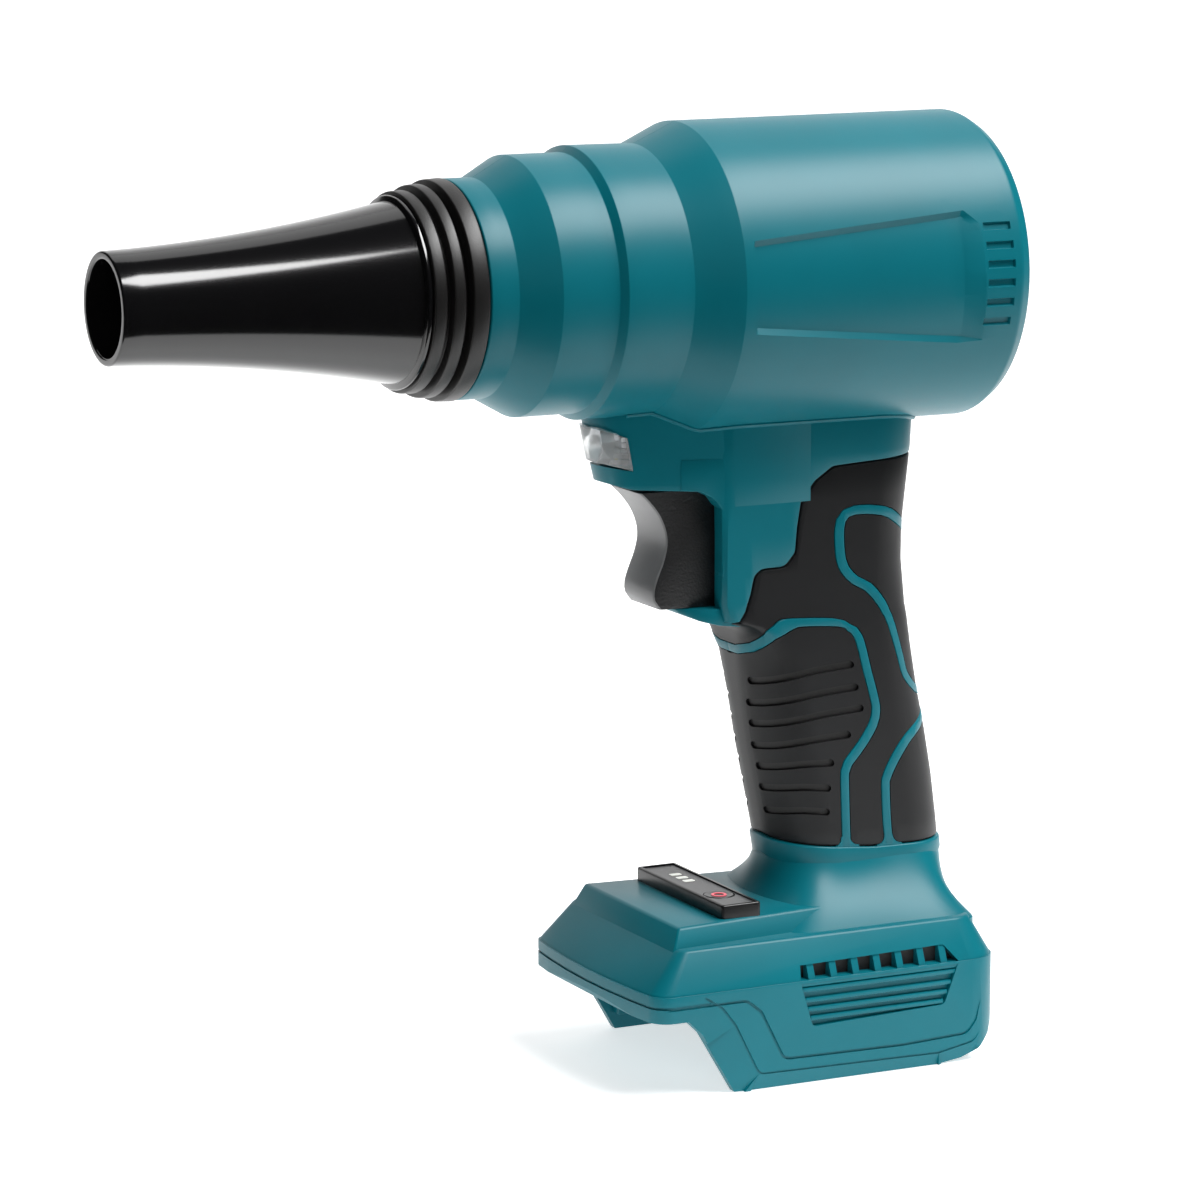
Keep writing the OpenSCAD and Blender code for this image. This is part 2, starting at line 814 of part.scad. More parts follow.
module motor_cap(x, bearing_side) {
    seat = 3.4;
    seat_x = bearing_side > 0 ? x + cap_len - seat : x;
    color("#8d9094") difference() {
        ring(x, cap_len - nest_gap, can_r, shaft_r + 1);
        ring(seat_x - nest_gap, seat + 2 * nest_gap, bearing_r + eps, 0.5);
    }
}

module motor_front_cap() {
    translate([nest_gap, 0, 0]) motor_cap(pod_x, 1);
}
module motor_rear_cap() { motor_cap(pod_x + pod_len - cap_len + nest_gap, -1); }

bearing_len = 3;
module bearing(x) {
    color("#b9bcc0") difference() {
        ring(x, bearing_len, bearing_r, shaft_r + run_gap);
        for (side = [-cut, bearing_len - 0.3]) ring(x + side, cut + 0.3, bearing_r - 0.9, shaft_r + 0.9);
    }
}

module front_bearing() { bearing(pod_x + cap_len - bearing_len - nest_gap); }
module rear_bearing() { bearing(pod_x + pod_len - cap_len + 2 * nest_gap); }

slot_count = 6;
module stator_core() {
    color("#6f7276") difference() {
        ring(core_x, core_len, core_r, rotor_r + air_gap);
        for (i = [0:slot_count - 1]) rotate([i * 360 / slot_count + 30, 0, 0])
            translate([core_x - cut, -2.6, rotor_r + 2]) cube([core_len + 2 * cut, 5.2,
                core_r - rotor_r - 4]);
    }
}

module stator_coils() {
    overhang = 3.5;
    color("#b06a32") for (i = [0:slot_count - 1]) rotate([i * 360 / slot_count + 30, 0, 0])
        translate([core_x - overhang, -2.4, rotor_r + 2.2])
            cube([core_len + 2 * overhang, 4.8, core_r - rotor_r - 4.4]);
}

module rotor_core() {
    color("#54575a") ring(core_x + 0.5, core_len - 1, rotor_r, shaft_r + eps);
}

module rotor_shaft() {
    color("#c9ccd0") along_x(shaft_x) cylinder(r = shaft_r, h = shaft_end - shaft_x);
}

module impeller() {
    blade_t = 1.5;
    pitch_angle = 38;
    tip_r = duct_bore_r - tip_gap;
    color("#2a2c2e") union() {
        ring(impeller_x, impeller_len, pod_r, shaft_r + eps);
        for (i = [0:blade_count - 1]) rotate([i * 360 / blade_count, 0, 0]) intersection() {
            ring(impeller_x + 1, impeller_len - 2, tip_r, pod_r - 1);
            translate([impeller_x + impeller_len / 2, 0, (pod_r + tip_r) / 2]) rotate([0, 0, pitch_angle])
                cube([impeller_len + 8, blade_t, tip_r - pod_r + 8], center = true);
        }
    }
}

module spinner() {
    base_x = impeller_x + impeller_len;
    dome_len = 7;
    color("#c0c3c6") difference() {
        revolve([[base_x, 0], [base_x, pod_r], [base_x + dome_len * 0.5, pod_r * 0.86],
                 [base_x + dome_len * 0.85, pod_r * 0.5], [base_x + dome_len, pod_r * 0.2],
                     [base_x + dome_len, 0]]);
        along_x(base_x - cut) cylinder(r = shaft_r + eps, h = shaft_end - base_x + cut + eps);
    }
}

// Trigger and switch ---------------------------------------------------

module trigger() {
    finger_r = 15.2;
    stem_half = 6;
    color("#2b2d2f") difference() {
        union() {
            side_prism(trigger_w / 2) polygon([
                [trigger_x, trigger_top], [trigger_back - 5, trigger_top], [trigger_back - 5, trigger_z],
                [trigger_x + 7, trigger_z], [trigger_x + 4.6, trigger_z + 2.4], [trigger_x + 4.2,
                    trigger_z + 6],
            ]);
            block([trigger_back - 6, -stem_half, trigger_z + 5], [trigger_back, stem_half,
                trigger_top - 5]);
        }
        translate([trigger_x - 6.3, 0, trigger_top - 14.3]) rotate([90, 0, 0])
            cylinder(r = finger_r, h = trigger_w + 2 * cut, center = true);
    }
}

module switch_plunger() {
    color("#d8d8d2") translate([trigger_back, 0, trigger_mid_z]) rotate([0, 90, 0])
        cylinder(r = plunger_r, h = plunger_len);
}

module switch_body() {
    bore_len = plunger_len + trigger_travel + trigger_back - switch_x + 1;
    color("#33363a") difference() {
        block([switch_x, -9, trigger_mid_z - 14], [switch_x + switch_len, 9, trigger_mid_z + 13]);
        translate([switch_x - cut, 0, trigger_mid_z]) rotate([0, 90, 0])
            cylinder(r = plunger_r + run_gap, h = bore_len + cut);
    }
}

// Sweeps a round wire of `sides` flats along a path; `up` is never along the path.
module wire(path, r, up, sides = 8) {
    last = len(path) - 1;
    function heading(i) = path[min(i + 1, last)] - path[max(i - 1, 0)];
    function unit(v) = v / norm(v);
    rings = [for (i = [0:last])
        let (t = unit(heading(i)), a = unit(cross(t, up)), b = cross(t, a))
        for (k = [0:sides - 1]) path[i] + r * (cos(k * 360 / sides) * a + sin(k * 360 / sides) * b)];
    polyhedron(points = rings, faces = concat(
        [[for (k = [0:sides - 1]) k]],
        [for (i = [0:last - 1], k = [0:sides - 1])
            let (n = (k + 1) % sides)
            [i * sides + k, (i + 1) * sides + k, (i + 1) * sides + n, i * sides + n]],
        [[for (k = [sides - 1:-1:0]) last * sides + k]]
    ));
}

module trigger_spring() {
    wire_r = 0.4;
    coil_r = 3.6;
    turns = 5;
    steps = 14;
    span = switch_x - trigger_back - 2 * wire_r - 0.3;
    color("#a8abae") wire([for (i = [0:turns * steps])
        let (a = i * 360 / steps)
        [trigger_back + wire_r + 0.15 + span * i / (turns * steps), coil_r * cos(a),
            trigger_mid_z + coil_r * sin(a)]],
        wire_r, [1, 0, 0], 6);
}

// Lamp -----------------------------------------------------------------

lens_end = nose_x + 9.3;
lens_h = 12.4;
lens_z = neck_z - 8.4;
lamp_half = 7.6;
lamp_z = lens_z + 5.6;
board_x = lens_end + 0.8;
module led_lens() {
    bulge_r = nose_r + 0.4;
    shell = 1.6;
    color("#e6e8ea") difference() {
        intersection() {
            translate([lens_end - 1.8, 0, lens_z]) cylinder(r = bulge_r, h = lens_h);
            block([nose_x - 5, -nose_r, lens_z - cut], [lens_end, nose_r, lens_z + lens_h + cut]);
        }
        translate([lens_end - 0.8, 0, lens_z + shell]) cylinder(r = bulge_r - 2, h = lens_h - 2 * shell);
    }
}

module led_board() {
    color("#e9ecdf") block([board_x, -lamp_half, lens_z + 0.4], [board_x + board_t, lamp_half,
        lens_z + lens_h - 1.6]);
}

module led_lamp() {
    color("#f3e9a0") difference() {
        block([board_x - 3, -2.5, lamp_z - 2.5], [board_x - eps, 2.5, lamp_z + 2.5]);
        translate([board_x - 4.6, 0, lamp_z]) rotate([0, 90, 0]) cylinder(r = 1.6, h = 2.4);
    }
}

// Control panel --------------------------------------------------------

panel_top = deck_z + panel_h;
module panel_bezel() {
    half_len = panel_len / 2;
    color("#202124") difference() {
        block([panel_x - half_len, -panel_half, deck_z], [panel_x + half_len, panel_half, panel_top]);
        block([panel_x - half_len + panel_rim, panel_rim - panel_half,
            deck_z + panel_h - panel_floor - 0.4],
              [panel_x + half_len - panel_rim, panel_half - panel_rim, panel_top + cut]);
        block([panel_x - half_len + 1.6, 1.6 - panel_half, deck_z - cut],
              [panel_x + half_len - 1.6, panel_half - 1.6, panel_top]);
    }
}

module panel_face() {
    half_len = panel_len / 2 - panel_rim - nest_gap;
    half_w = panel_half - panel_rim - nest_gap;
    color("#2c2e31") difference() {
        block([panel_x - half_len, -half_w, panel_top - panel_floor - 0.4],
              [panel_x + half_len, half_w, panel_top - 0.4]);
        translate([panel_x, button_y, deck_z]) cylinder(r = button_r + 0.3, h = panel_h);
        for (i = [-1:1]) translate([panel_x, gauge_y + i * gauge_pitch, deck_z + panel_h / 2])
            cube([3.4, 2.4, panel_h * 2], center = true);
    }
}

module gauge_lights() {
    color("#f2f2ea") for (i = [-1:1])
        translate([panel_x, gauge_y + i * gauge_pitch, panel_top - 1.4]) cube([3, 2, 1.8], center = true);
}

module power_button() {
    color("#26282b") translate([panel_x, button_y, panel_top - 2.4]) {
        cylinder(r = button_r, h = 2.2);
        translate([0, 0, -1.2]) cylinder(r = 1.6, h = 1.3);
    }
}

module button_dome() {
    color("#c8a24a") translate([panel_x, button_y, deck_z - 1]) cylinder(r1 = 2.8, r2 = 1.8, h = 0.8);
}

module panel_board() {
    color("#1f5b3a") block([panel_x - 4.2, 3.5 - panel_half, deck_z - 1 - board_t],
                           [panel_x + 4.2, panel_half - 3.5, deck_z - 1]);
}

// Electronics and battery contacts --------------------------------------

module control_board() {
    color("#1f5b3a") block([178, -24, board_z], [230, -11, board_z + board_t]);
    color("#1f5b3a") block([178, -11.5, board_z], [222, 24, board_z + board_t]);
}

module capacitors() {
    cap_r = 4;
    color("#2d3350") for (y = [0, 10]) translate([184, y, board_z - 5 - eps]) rotate([0, 90, 0])
        cylinder(r = cap_r, h = 16);
}

module heat_sink() {
    color("#a9acb0") for (part = [0:5])
        block([164, -22 + part * 8, board_z - 3], [175, -20.4 + part * 8, board_z + 4]);
    color("#a9acb0") block([164, -22, board_z - 4.5], [175, 19.6, board_z - 3 + eps]);
}

module terminal_block() {
    color("#2a2c2f") difference() {
        block([terminal_x, -terminal_half, roof_z - terminal_h + 4],
              [terminal_x + terminal_len, terminal_half, roof_z + floor_t + 0.6]);
        for (s = [-1, 1])
            block([terminal_x - cut, s * blade_span - blade_t / 2 - nest_gap, roof_z - terminal_h],
                  [terminal_x + terminal_len - 6, s * blade_span + blade_t / 2 + nest_gap, roof_z - 1]);
    }
}

module terminal_blades() {
    color("#c9a15a") for (s = [-1, 1])
        block([terminal_x + 4, s * blade_span - blade_t / 2, roof_z - terminal_h + 5],
              [terminal_x + terminal_len - 7, s * blade_span + blade_t / 2, roof_z - 1 - eps]);
}

module motor_plug() {
    color("#e4e2d8") block([plug_x, -plug_half, neck_z - 4.5], [plug_x + plug_len, plug_half,
        neck_z + 0.6]);
}

lead_r = 1.2;
lead_x = 226;
module motor_leads() {
    foot_turn = [lead_x + 9, 0, deck_z - 2];
    low = [lead_x + 5, 0, grip_foot_z + 7];
    high = [plug_x + 11, 0, neck_z - 5];
    route = concat([[lead_x + 12, 0, board_z + 6], foot_turn],
        [for (t = [0:0.25:1]) low * (1 - t) + high * t]);
    color("#c23b30") for (y = [-5, 0, 5]) wire([for (p = route) p + [0, y, 0]], lead_r, [0, 1, 0]);
}

module battery_leads() {
    low = [lead_x - 2, 0, grip_foot_z + 7];
    high = [lean_x(trigger_z) - 7.7, 0, trigger_mid_z - 14.4];
    route = concat([[lead_x + 5, 0, deck_z - 3]], [for (t = [0:0.25:1]) low * (1 - t) + high * t]);
    color("#33363a") for (y = [-6, 6]) wire([for (p = route) p + [0, y, 0]], lead_r, [0, 1, 0]);
}

housing_left();
housing_right();
grip_left();
grip_right();
housing_screws();
nozzle();
nozzle_collar();
nozzle_seal();
fan_duct();
duct_seals();
rear_grille();
intake_screen();
tail_cone();
motor_can();
motor_front_cap();
motor_rear_cap();
stator_core();
stator_coils();
front_bearing();
rear_bearing();
rotor_core();
rotor_shaft();
impeller();
spinner();
trigger();
switch_plunger();
trigger_spring();
switch_body();
led_lens();
led_board();
led_lamp();
panel_bezel();
panel_face();
gauge_lights();
power_button();
button_dome();
panel_board();
control_board();
capacitors();
heat_sink();
terminal_block();
terminal_blades();
motor_plug();
motor_leads();
battery_leads();
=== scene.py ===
"""Looks of a hand-held cordless jet blower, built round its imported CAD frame.

Every length in the tool's classes is in millimetres and is turned into metres when a piece is
finished; the studio is in metres. The frame is the CAD's own: the origin is the centre of the
nozzle's mouth, +X runs along the air axis towards the rear intake, +Z is up and -Y is the
tool's left side.
"""

import logging
import math
from dataclasses import dataclass, field
from enum import Enum
from typing import Callable, Iterable, Optional, Sequence

import bmesh
import bpy
from bmesh.types import BMEdge, BMesh, BMFace, BMVert
from mathutils import Matrix, Vector


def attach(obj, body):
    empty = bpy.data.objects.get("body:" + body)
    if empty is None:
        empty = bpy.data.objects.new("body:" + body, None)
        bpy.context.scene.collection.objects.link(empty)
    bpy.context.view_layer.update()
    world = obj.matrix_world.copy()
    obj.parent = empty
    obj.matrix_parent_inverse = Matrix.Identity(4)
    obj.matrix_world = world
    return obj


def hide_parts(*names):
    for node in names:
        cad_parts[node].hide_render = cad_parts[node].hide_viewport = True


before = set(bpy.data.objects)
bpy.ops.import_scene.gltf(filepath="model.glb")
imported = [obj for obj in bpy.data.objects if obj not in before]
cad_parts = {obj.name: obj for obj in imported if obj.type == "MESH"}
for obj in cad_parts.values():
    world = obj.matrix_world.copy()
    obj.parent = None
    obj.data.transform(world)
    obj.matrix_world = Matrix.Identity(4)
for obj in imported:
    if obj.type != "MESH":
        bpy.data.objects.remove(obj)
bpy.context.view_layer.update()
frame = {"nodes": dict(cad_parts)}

MM = 0.001
LOG = logging.getLogger("blower")
WELD = 1e-4  # vertices closer than this are merged, in millimetres
TOUCH = 0.01  # a vertex this close to a line or a plane lies on it, in millimetres

Point = tuple[float, float]
Place = tuple[float, float, float]
Mapping3 = Callable[[Vector], Vector]


class Side(Enum):
    """The two mirrored sides of the tool."""

    LEFT = -1
    RIGHT = 1


class Body(Enum):
    """The moving bodies of the frame."""

    HOUSING = "housing"
    NOZZLE = "nozzle"
    TRIGGER = "trigger"
    BUTTON = "power_button"


# Finishes ------------------------------------------------------------------

COAT_ROUGHNESS = 0.12
ROUGHNESS_SPREAD = 0.12  # share by which the grain makes a surface rougher or glossier
CLOUD_SIZE = 28.0  # size of the mottling, in millimetres
GRAIN_DEPTH = 0.3  # depth of the grain as a share of its size


@dataclass(frozen=True)
class Finish:
    """A moulded, rubber or metal surface with fine grain and mottling.

    Attributes:
        name: Material name.
        color: Linear base colour.
        roughness: Mean roughness.
        metallic: 0 for plastics, 1 for metals.
        grain: Size of the moulded grain, in millimetres.
        relief: Strength of the grain's bump.
        mottle: How much the colour varies over a few centimetres.
        coat: Weight of a clear coat.
        transmission: 1 for a clear lens.
        glow: Strength of emitted light.
        specular: Strength of the plain reflection.
    """

    name: str
    color: tuple[float, float, float]
    roughness: float = 0.45
    metallic: float = 0.0
    grain: float = 0.35
    relief: float = 0.08
    mottle: float = 0.06
    coat: float = 0.0
    transmission: float = 0.0
    glow: float = 0.0
    specular: float = 0.5

    def material(self) -> bpy.types.Material:
        """Returns the material, which is made the first time that it is asked for."""
        name = f"{self.name}_finish"
        found = bpy.data.materials.get(name)
        if found:
            return found
        mat = bpy.data.materials.new(name)
        mat.use_nodes = True
        nodes, links = mat.node_tree.nodes, mat.node_tree.links
        shader = nodes["Principled BSDF"]
        shader.inputs["Metallic"].default_value = self.metallic
        shader.inputs["Specular IOR Level"].default_value = self.specular
        shader.inputs["Coat Weight"].default_value = self.coat
        shader.inputs["Coat Roughness"].default_value = COAT_ROUGHNESS
        shader.inputs["Transmission Weight"].default_value = self.transmission
        shader.inputs["Emission Strength"].default_value = self.glow
        shader.inputs["Emission Color"].default_value = (*self.color, 1.0)
        place = nodes.new("ShaderNodeTexCoord")
        cloud = self._noise(nodes, links, place, 1.0 / (CLOUD_SIZE * MM), 3.0)
        grain = self._noise(nodes, links, place, 1.0 / (self.grain * MM), 4.0)
        tint = nodes.new("ShaderNodeValToRGB")
        tint.color_ramp.elements[0].position = 0.3
        tint.color_ramp.elements[1].position = 0.7
        tint.color_ramp.elements[0].color = (*(c * (1 - self.mottle) for c in self.color), 1.0)
        tint.color_ramp.elements[1].color = (*(min(1.0, c * (1 + self.mottle)) for c in self.color), 1.0)
        links.new(cloud.outputs["Fac"], tint.inputs["Fac"])
        links.new(tint.outputs["Color"], shader.inputs["Base Color"])
        spread = nodes.new("ShaderNodeMapRange")
        spread.inputs["To Min"].default_value = self.roughness * (1 - ROUGHNESS_SPREAD)
        spread.inputs["To Max"].default_value = min(1.0, self.roughness * (1 + ROUGHNESS_SPREAD))
        links.new(grain.outputs["Fac"], spread.inputs["Value"])
        links.new(spread.outputs["Result"], shader.inputs["Roughness"])
        bump = nodes.new("ShaderNodeBump")
        bump.inputs["Strength"].default_value = self.relief
        bump.inputs["Distance"].default_value = GRAIN_DEPTH * self.grain * MM
        links.new(grain.outputs["Fac"], bump.inputs["Height"])
        links.new(bump.outputs["Normal"], shader.inputs["Normal"])
        return mat

    @staticmethod
    def _noise(nodes: bpy.types.Nodes, links: bpy.types.NodeLinks, place: bpy.types.ShaderNode, scale: float,
               detail: float) -> bpy.types.ShaderNode:
        """Adds a noise texture that reads the piece's own coordinates.

        Args:
            nodes: The material's nodes.
            links: The material's links.
            place: The texture coordinate node.
            scale: Features to a metre.
            detail: Octaves of finer noise.

        Returns:
            The noise node.
        """
        noise = nodes.new("ShaderNodeTexNoise")
        noise.inputs["Scale"].default_value = scale
        noise.inputs["Detail"].default_value = detail
        links.new(place.outputs["Object"], noise.inputs["Vector"])
        return noise


TEAL = Finish("teal_shell", (0.001, 0.142, 0.18), roughness=0.38, grain=0.3, relief=0.05, mottle=0.04,
              specular=0.27)
NOZZLE_GLOSS = Finish("nozzle_gloss", (0.0045, 0.0045, 0.005), roughness=0.13, grain=0.8, relief=0.01, coat=0.4)
RIB_BLACK = Finish("rib_black", (0.0085, 0.008, 0.008), roughness=0.42, grain=0.45, relief=0.22)
RUBBER = Finish("grip_rubber", (0.0075, 0.0078, 0.0086), roughness=0.46, grain=0.28, relief=0.16, specular=0.32)
# The trigger's forward- and downward-facing faces get a lighter grey. This is painted reflection and painted highlight
# standing in for the light that the black trigger reflects there. Only the face's finer, smoother grain is its own.
TRIGGER_FACE_PAINTED_SHEEN = Finish("trigger_face_painted_sheen", (0.15, 0.152, 0.155), roughness=0.36, grain=0.5, relief=0.04)
TRIGGER_GRAIN = Finish("trigger_grain", (0.0065, 0.0065, 0.007), roughness=0.5, grain=0.8, relief=0.9)
LENS = Finish("clear_lens", (0.93, 0.95, 0.96), roughness=0.08, grain=1.2, relief=0.02, transmission=0.85)
REFLECTOR = Finish("lamp_reflector", (0.8, 0.81, 0.82), roughness=0.2, metallic=0.6, relief=0.02)
PANEL_BLACK = Finish("panel_black", (0.006, 0.006, 0.0065), roughness=0.32, grain=0.3, relief=0.04)
PANEL_FILM = Finish("panel_film", (0.035, 0.036, 0.039), roughness=0.35, grain=0.25, relief=0.04)
GAUGE_WHITE = Finish("gauge_white", (0.78, 0.8, 0.74), roughness=0.35, relief=0.02, glow=0.4)
SYMBOL_RED = Finish("symbol_red", (0.75, 0.1, 0.14), roughness=0.4, relief=0.02, glow=0.35)
INNER_GREY = Finish("inner_plastic", (0.03, 0.032, 0.035), roughness=0.5, relief=0.1)
GRILLE_BLACK = Finish("grille_black", (0.012, 0.0125, 0.013), roughness=0.45, relief=0.14)
STEEL = Finish("zinc_steel", (0.5, 0.51, 0.52), roughness=0.32, metallic=1.0, grain=0.25, relief=0.05)
BRIGHT_STEEL = Finish("bearing_steel", (0.68, 0.68, 0.69), roughness=0.16, metallic=1.0, grain=0.2, relief=0.02)
SCREEN_STEEL = Finish("screen_steel", (0.09, 0.09, 0.095), roughness=0.4, metallic=1.0, relief=0.05)
ALUMINIUM = Finish("aluminium", (0.6, 0.61, 0.62), roughness=0.3, metallic=1.0, grain=0.3, relief=0.06)
COPPER = Finish("copper", (0.62, 0.26, 0.1), roughness=0.28, metallic=1.0, grain=0.5, relief=0.2)
BRASS = Finish("contact_brass", (0.66, 0.46, 0.17), roughness=0.25, metallic=1.0, relief=0.03)
BOARD_GREEN = Finish("board_green", (0.012, 0.11, 0.045), roughness=0.3, grain=0.6, relief=0.05, coat=0.5)
WHITE_PLASTIC = Finish("white_plastic", (0.62, 0.61, 0.57), roughness=0.42, relief=0.05)
SEAL_RUBBER = Finish("seal_rubber", (0.014, 0.014, 0.014), roughness=0.6, relief=0.08)
LEAD_RED = Finish("lead_red", (0.38, 0.018, 0.014), roughness=0.45, relief=0.05)
LEAD_BLACK = Finish("lead_black", (0.014, 0.014, 0.014), roughness=0.45, relief=0.05)
SLEEVE_BLUE = Finish("capacitor_sleeve", (0.025, 0.035, 0.11), roughness=0.25, relief=0.02)
PHOSPHOR = Finish("lamp_yellow", (0.8, 0.68, 0.2), roughness=0.4, relief=0.03, glow=0.2)
STUDIO_WHITE = Finish("studio_white", (0.9, 0.9, 0.9), roughness=0.9, grain=40.0, relief=0.0, mottle=0.0,
                      glow=0.7)


# Mesh tools ----------------------------------------------------------------


def rounded(points: Sequence[Point], radii: Sequence[float], steps: int = 5, closed: bool = True) -> list[Point]:
    """Rounds the corners of an outline with arcs.

    Args:
        points: Corners of the outline.
        radii: Radius at each corner, 0 for a sharp one.
        steps: Segments in each arc.
        closed: Whether the last corner joins the first.

    Returns:
        The outline's points, arcs included.
    """
    count = len(points)
    out: list[Point] = []
    for i, (corner, radius) in enumerate(zip(points, radii)):
        here = Vector(corner)
        at_end = not closed and i in (0, count - 1)
        if radius <= 0 or at_end:
            out.append(corner)
            continue
        back = Vector(points[i - 1]) - here
        on = Vector(points[(i + 1) % count]) - here
        turn = back.angle(on)
        reach = min(radius / math.tan(turn / 2), back.length * 0.49, on.length * 0.49)
        size = reach * math.tan(turn / 2)
        start, end = here + back.normalized() * reach, here + on.normalized() * reach
        middle = here + (back.normalized() + on.normalized()).normalized() * (size / math.sin(turn / 2))
        a, b = start - middle, end - middle
        sweep = a.angle_signed(b)
        for k in range(steps + 1):
            angle = -sweep * k / steps
            spoke = Vector((a.x * math.cos(angle) - a.y * math.sin(angle),
                            a.x * math.sin(angle) + a.y * math.cos(angle)))
            out.append(tuple(middle + spoke))
    return out


def outward(bm: BMesh) -> None:
    """Turns the faces of a closed mesh to point out of it."""
    bm.normal_update()
    bmesh.ops.recalc_face_normals(bm, faces=bm.faces)
    if bm.calc_volume(signed=True) < 0:
        bmesh.ops.reverse_faces(bm, faces=bm.faces)
    bm.normal_update()


def loop_edges(bm: BMesh, points: Iterable[Vector], closed: bool) -> list[BMEdge]:
    """Adds a chain of edges through some points.

    Args:
        bm: The mesh to add to.
        points: The points in order.
        closed: Whether the last point joins the first.

    Returns:
        The chain's edges.
    """
    verts = [bm.verts.new(p) for p in points]
    pairs = list(zip(verts, verts[1:])) + ([(verts[-1], verts[0])] if closed else [])
    return [bm.edges.new(pair) for pair in pairs]


def revolved(points: Iterable[Vector], axis: Place, steps: int, closed: bool) -> BMesh:
    """Spins a chain of points a full turn about an axis through the origin.

    Args:
        points: The chain.
        axis: Direction of the axis.
        steps: Segments in the turn.
        closed: Whether the chain is a closed loop, as the section of a tube is.

    Returns:
        The spun surface.
    """
    bm = bmesh.new()
    edges = loop_edges(bm, points, closed)
    geom = edges + list({v for e in edges for v in e.verts})
    bmesh.ops.spin(bm, geom=geom, cent=(0, 0, 0), axis=axis, angle=math.tau, steps=steps, use_merge=True)
    bmesh.ops.remove_doubles(bm, verts=bm.verts, dist=WELD)
    outward(bm)
    return bm


def spun(profile: Sequence[Point], steps: int = 128) -> BMesh:
    """Spins a closed profile of (station, radius) points about the air axis."""
    return revolved([Vector((x, 0, r)) for x, r in profile], (1, 0, 0), steps, closed=True)


def circle(radius: float, count: int, x: float = 0.0, y: float = 0.0) -> list[Point]:
    """Points of a circle round a middle."""
    turn = math.tau / count
    return [(x + radius * math.cos(turn * k), y + radius * math.sin(turn * k)) for k in range(count)]


def prism(outline: Sequence[Point], low: float, high: float) -> BMesh:
    """Extrudes an outline upwards.

    Args:
        outline: Points in the first two coordinates.
        low: Third coordinate of the base.
        high: Third coordinate of the top.

    Returns:
        The closed solid.
    """
    bm = bmesh.new()
    face = bm.faces.new([bm.verts.new((x, y, low)) for x, y in outline])
    made = bmesh.ops.extrude_face_region(bm, geom=[face])
    lifted = [v for v in made["geom"] if isinstance(v, BMVert)]
    bmesh.ops.translate(bm, verts=lifted, vec=(0, 0, high - low))
    outward(bm)
    return bm


def soften(bm: BMesh, width: float, segments: int = 2, sharper_than: float = 30.0,
           where: Optional[Callable[[BMEdge], bool]] = None) -> None:
    """Bevels the edges that are sharper than an angle.

    Args:
        bm: The mesh to work on.
        width: Width of the bevel.
        segments: Segments across it.
        sharper_than: Least angle between an edge's faces, in degrees.
        where: Picks the edges that are bevelled, where not all are.
    """
    limit = math.radians(sharper_than)
    edges = [e for e in bm.edges if e.is_manifold and e.calc_face_angle(0) > limit and (where is None or where(e))]
    bmesh.ops.bevel(bm, geom=edges, offset=width, offset_type="OFFSET", segments=segments, profile=0.5,
                    affect="EDGES", clamp_overlap=True, material=-1)


def dice(bm: BMesh, axis: int, stations: Iterable[float]) -> None:
    """Cuts a mesh along planes across one axis, so that it can be bent smoothly.

    Args:
        bm: The mesh to work on.
        axis: 0, 1 or 2.
        stations: Where the planes stand.
    """
    normal = [0.0, 0.0, 0.0]
    normal[axis] = 1.0
    for s in stations:
        spot = [0.0, 0.0, 0.0]
        spot[axis] = s
        geom = list(bm.verts) + list(bm.edges) + list(bm.faces)
        bmesh.ops.bisect_plane(bm, geom=geom, dist=1e-5, plane_co=spot, plane_no=normal)


def warp(bm: BMesh, mapping: Mapping3) -> None:
    """Moves every vertex by a mapping."""
    for v in bm.verts:
        v.co = mapping(v.co)


def spans(low: float, high: float, step: float) -> list[float]:
    """Evenly spaced stations strictly between two limits."""
    count = max(1, round((high - low) / step))
    return [low + (high - low) * i / count for i in range(1, count)]


def joined(parts: Sequence[BMesh]) -> BMesh:
    """Puts several meshes into the first of them.

    Args:
        parts: The meshes; all but the first are freed.

    Returns:
        The first mesh.
    """
    whole = parts[0]
    for part in parts[1:]:
        mesh = bpy.data.meshes.new("joining")
        part.to_mesh(mesh)
        part.free()
        whole.from_mesh(mesh)
        bpy.data.meshes.remove(mesh)
    return whole


def mirrored(bm: BMesh) -> BMesh:
    """Returns a copy on the other side of the tool."""
    other = bm.copy()
    bmesh.ops.scale(other, vec=(1, -1, 1), verts=other.verts)
    outward(other)
    return other


def boolean(base: BMesh, cutters: Sequence[BMesh], operation: str = "DIFFERENCE") -> BMesh:
    """Cuts, joins or intersects closed meshes exactly.

    Args:
        base: The mesh to work on, which is freed.
        cutters: The other meshes, which are freed.
        operation: DIFFERENCE, UNION or INTERSECT.

    Returns:
        The result.
    """
    def temporary(bm: BMesh, name: str) -> bpy.types.Object:
        """Links a mesh as an object for the length of the cut."""
        mesh = bpy.data.meshes.new(name)
        bm.to_mesh(mesh)
        bm.free()
        obj = bpy.data.objects.new(name, mesh)
        bpy.context.scene.collection.objects.link(obj)
        return obj

    body = temporary(base, "boolean_base")
    tools = [temporary(c, "boolean_tool") for c in cutters]
    for tool in tools:
        step = body.modifiers.new("step", "BOOLEAN")
        step.operation, step.object, step.solver = operation, tool, "EXACT"
    result = bmesh.new()
    result.from_object(body, bpy.context.evaluated_depsgraph_get())
    for obj in [body, *tools]:
        mesh = obj.data
        bpy.data.objects.remove(obj)
        bpy.data.meshes.remove(mesh)
    return result


def between(table: Sequence[tuple[float, ...]], key: float) -> tuple[float, ...]:
    """Reads a table between its rows.

    Args:
        table: Rows sorted by a falling first column.
        key: Where in the first column to read.

    Returns:
        The other columns there.
    """
    if key >= table[0][0]:
        return table[0][1:]
    for upper, lower in zip(table, table[1:]):
        if key >= lower[0]:
            t = (upper[0] - key) / (upper[0] - lower[0])
            return tuple(a + (b - a) * t for a, b in zip(upper[1:], lower[1:]))
    return table[-1][1:]


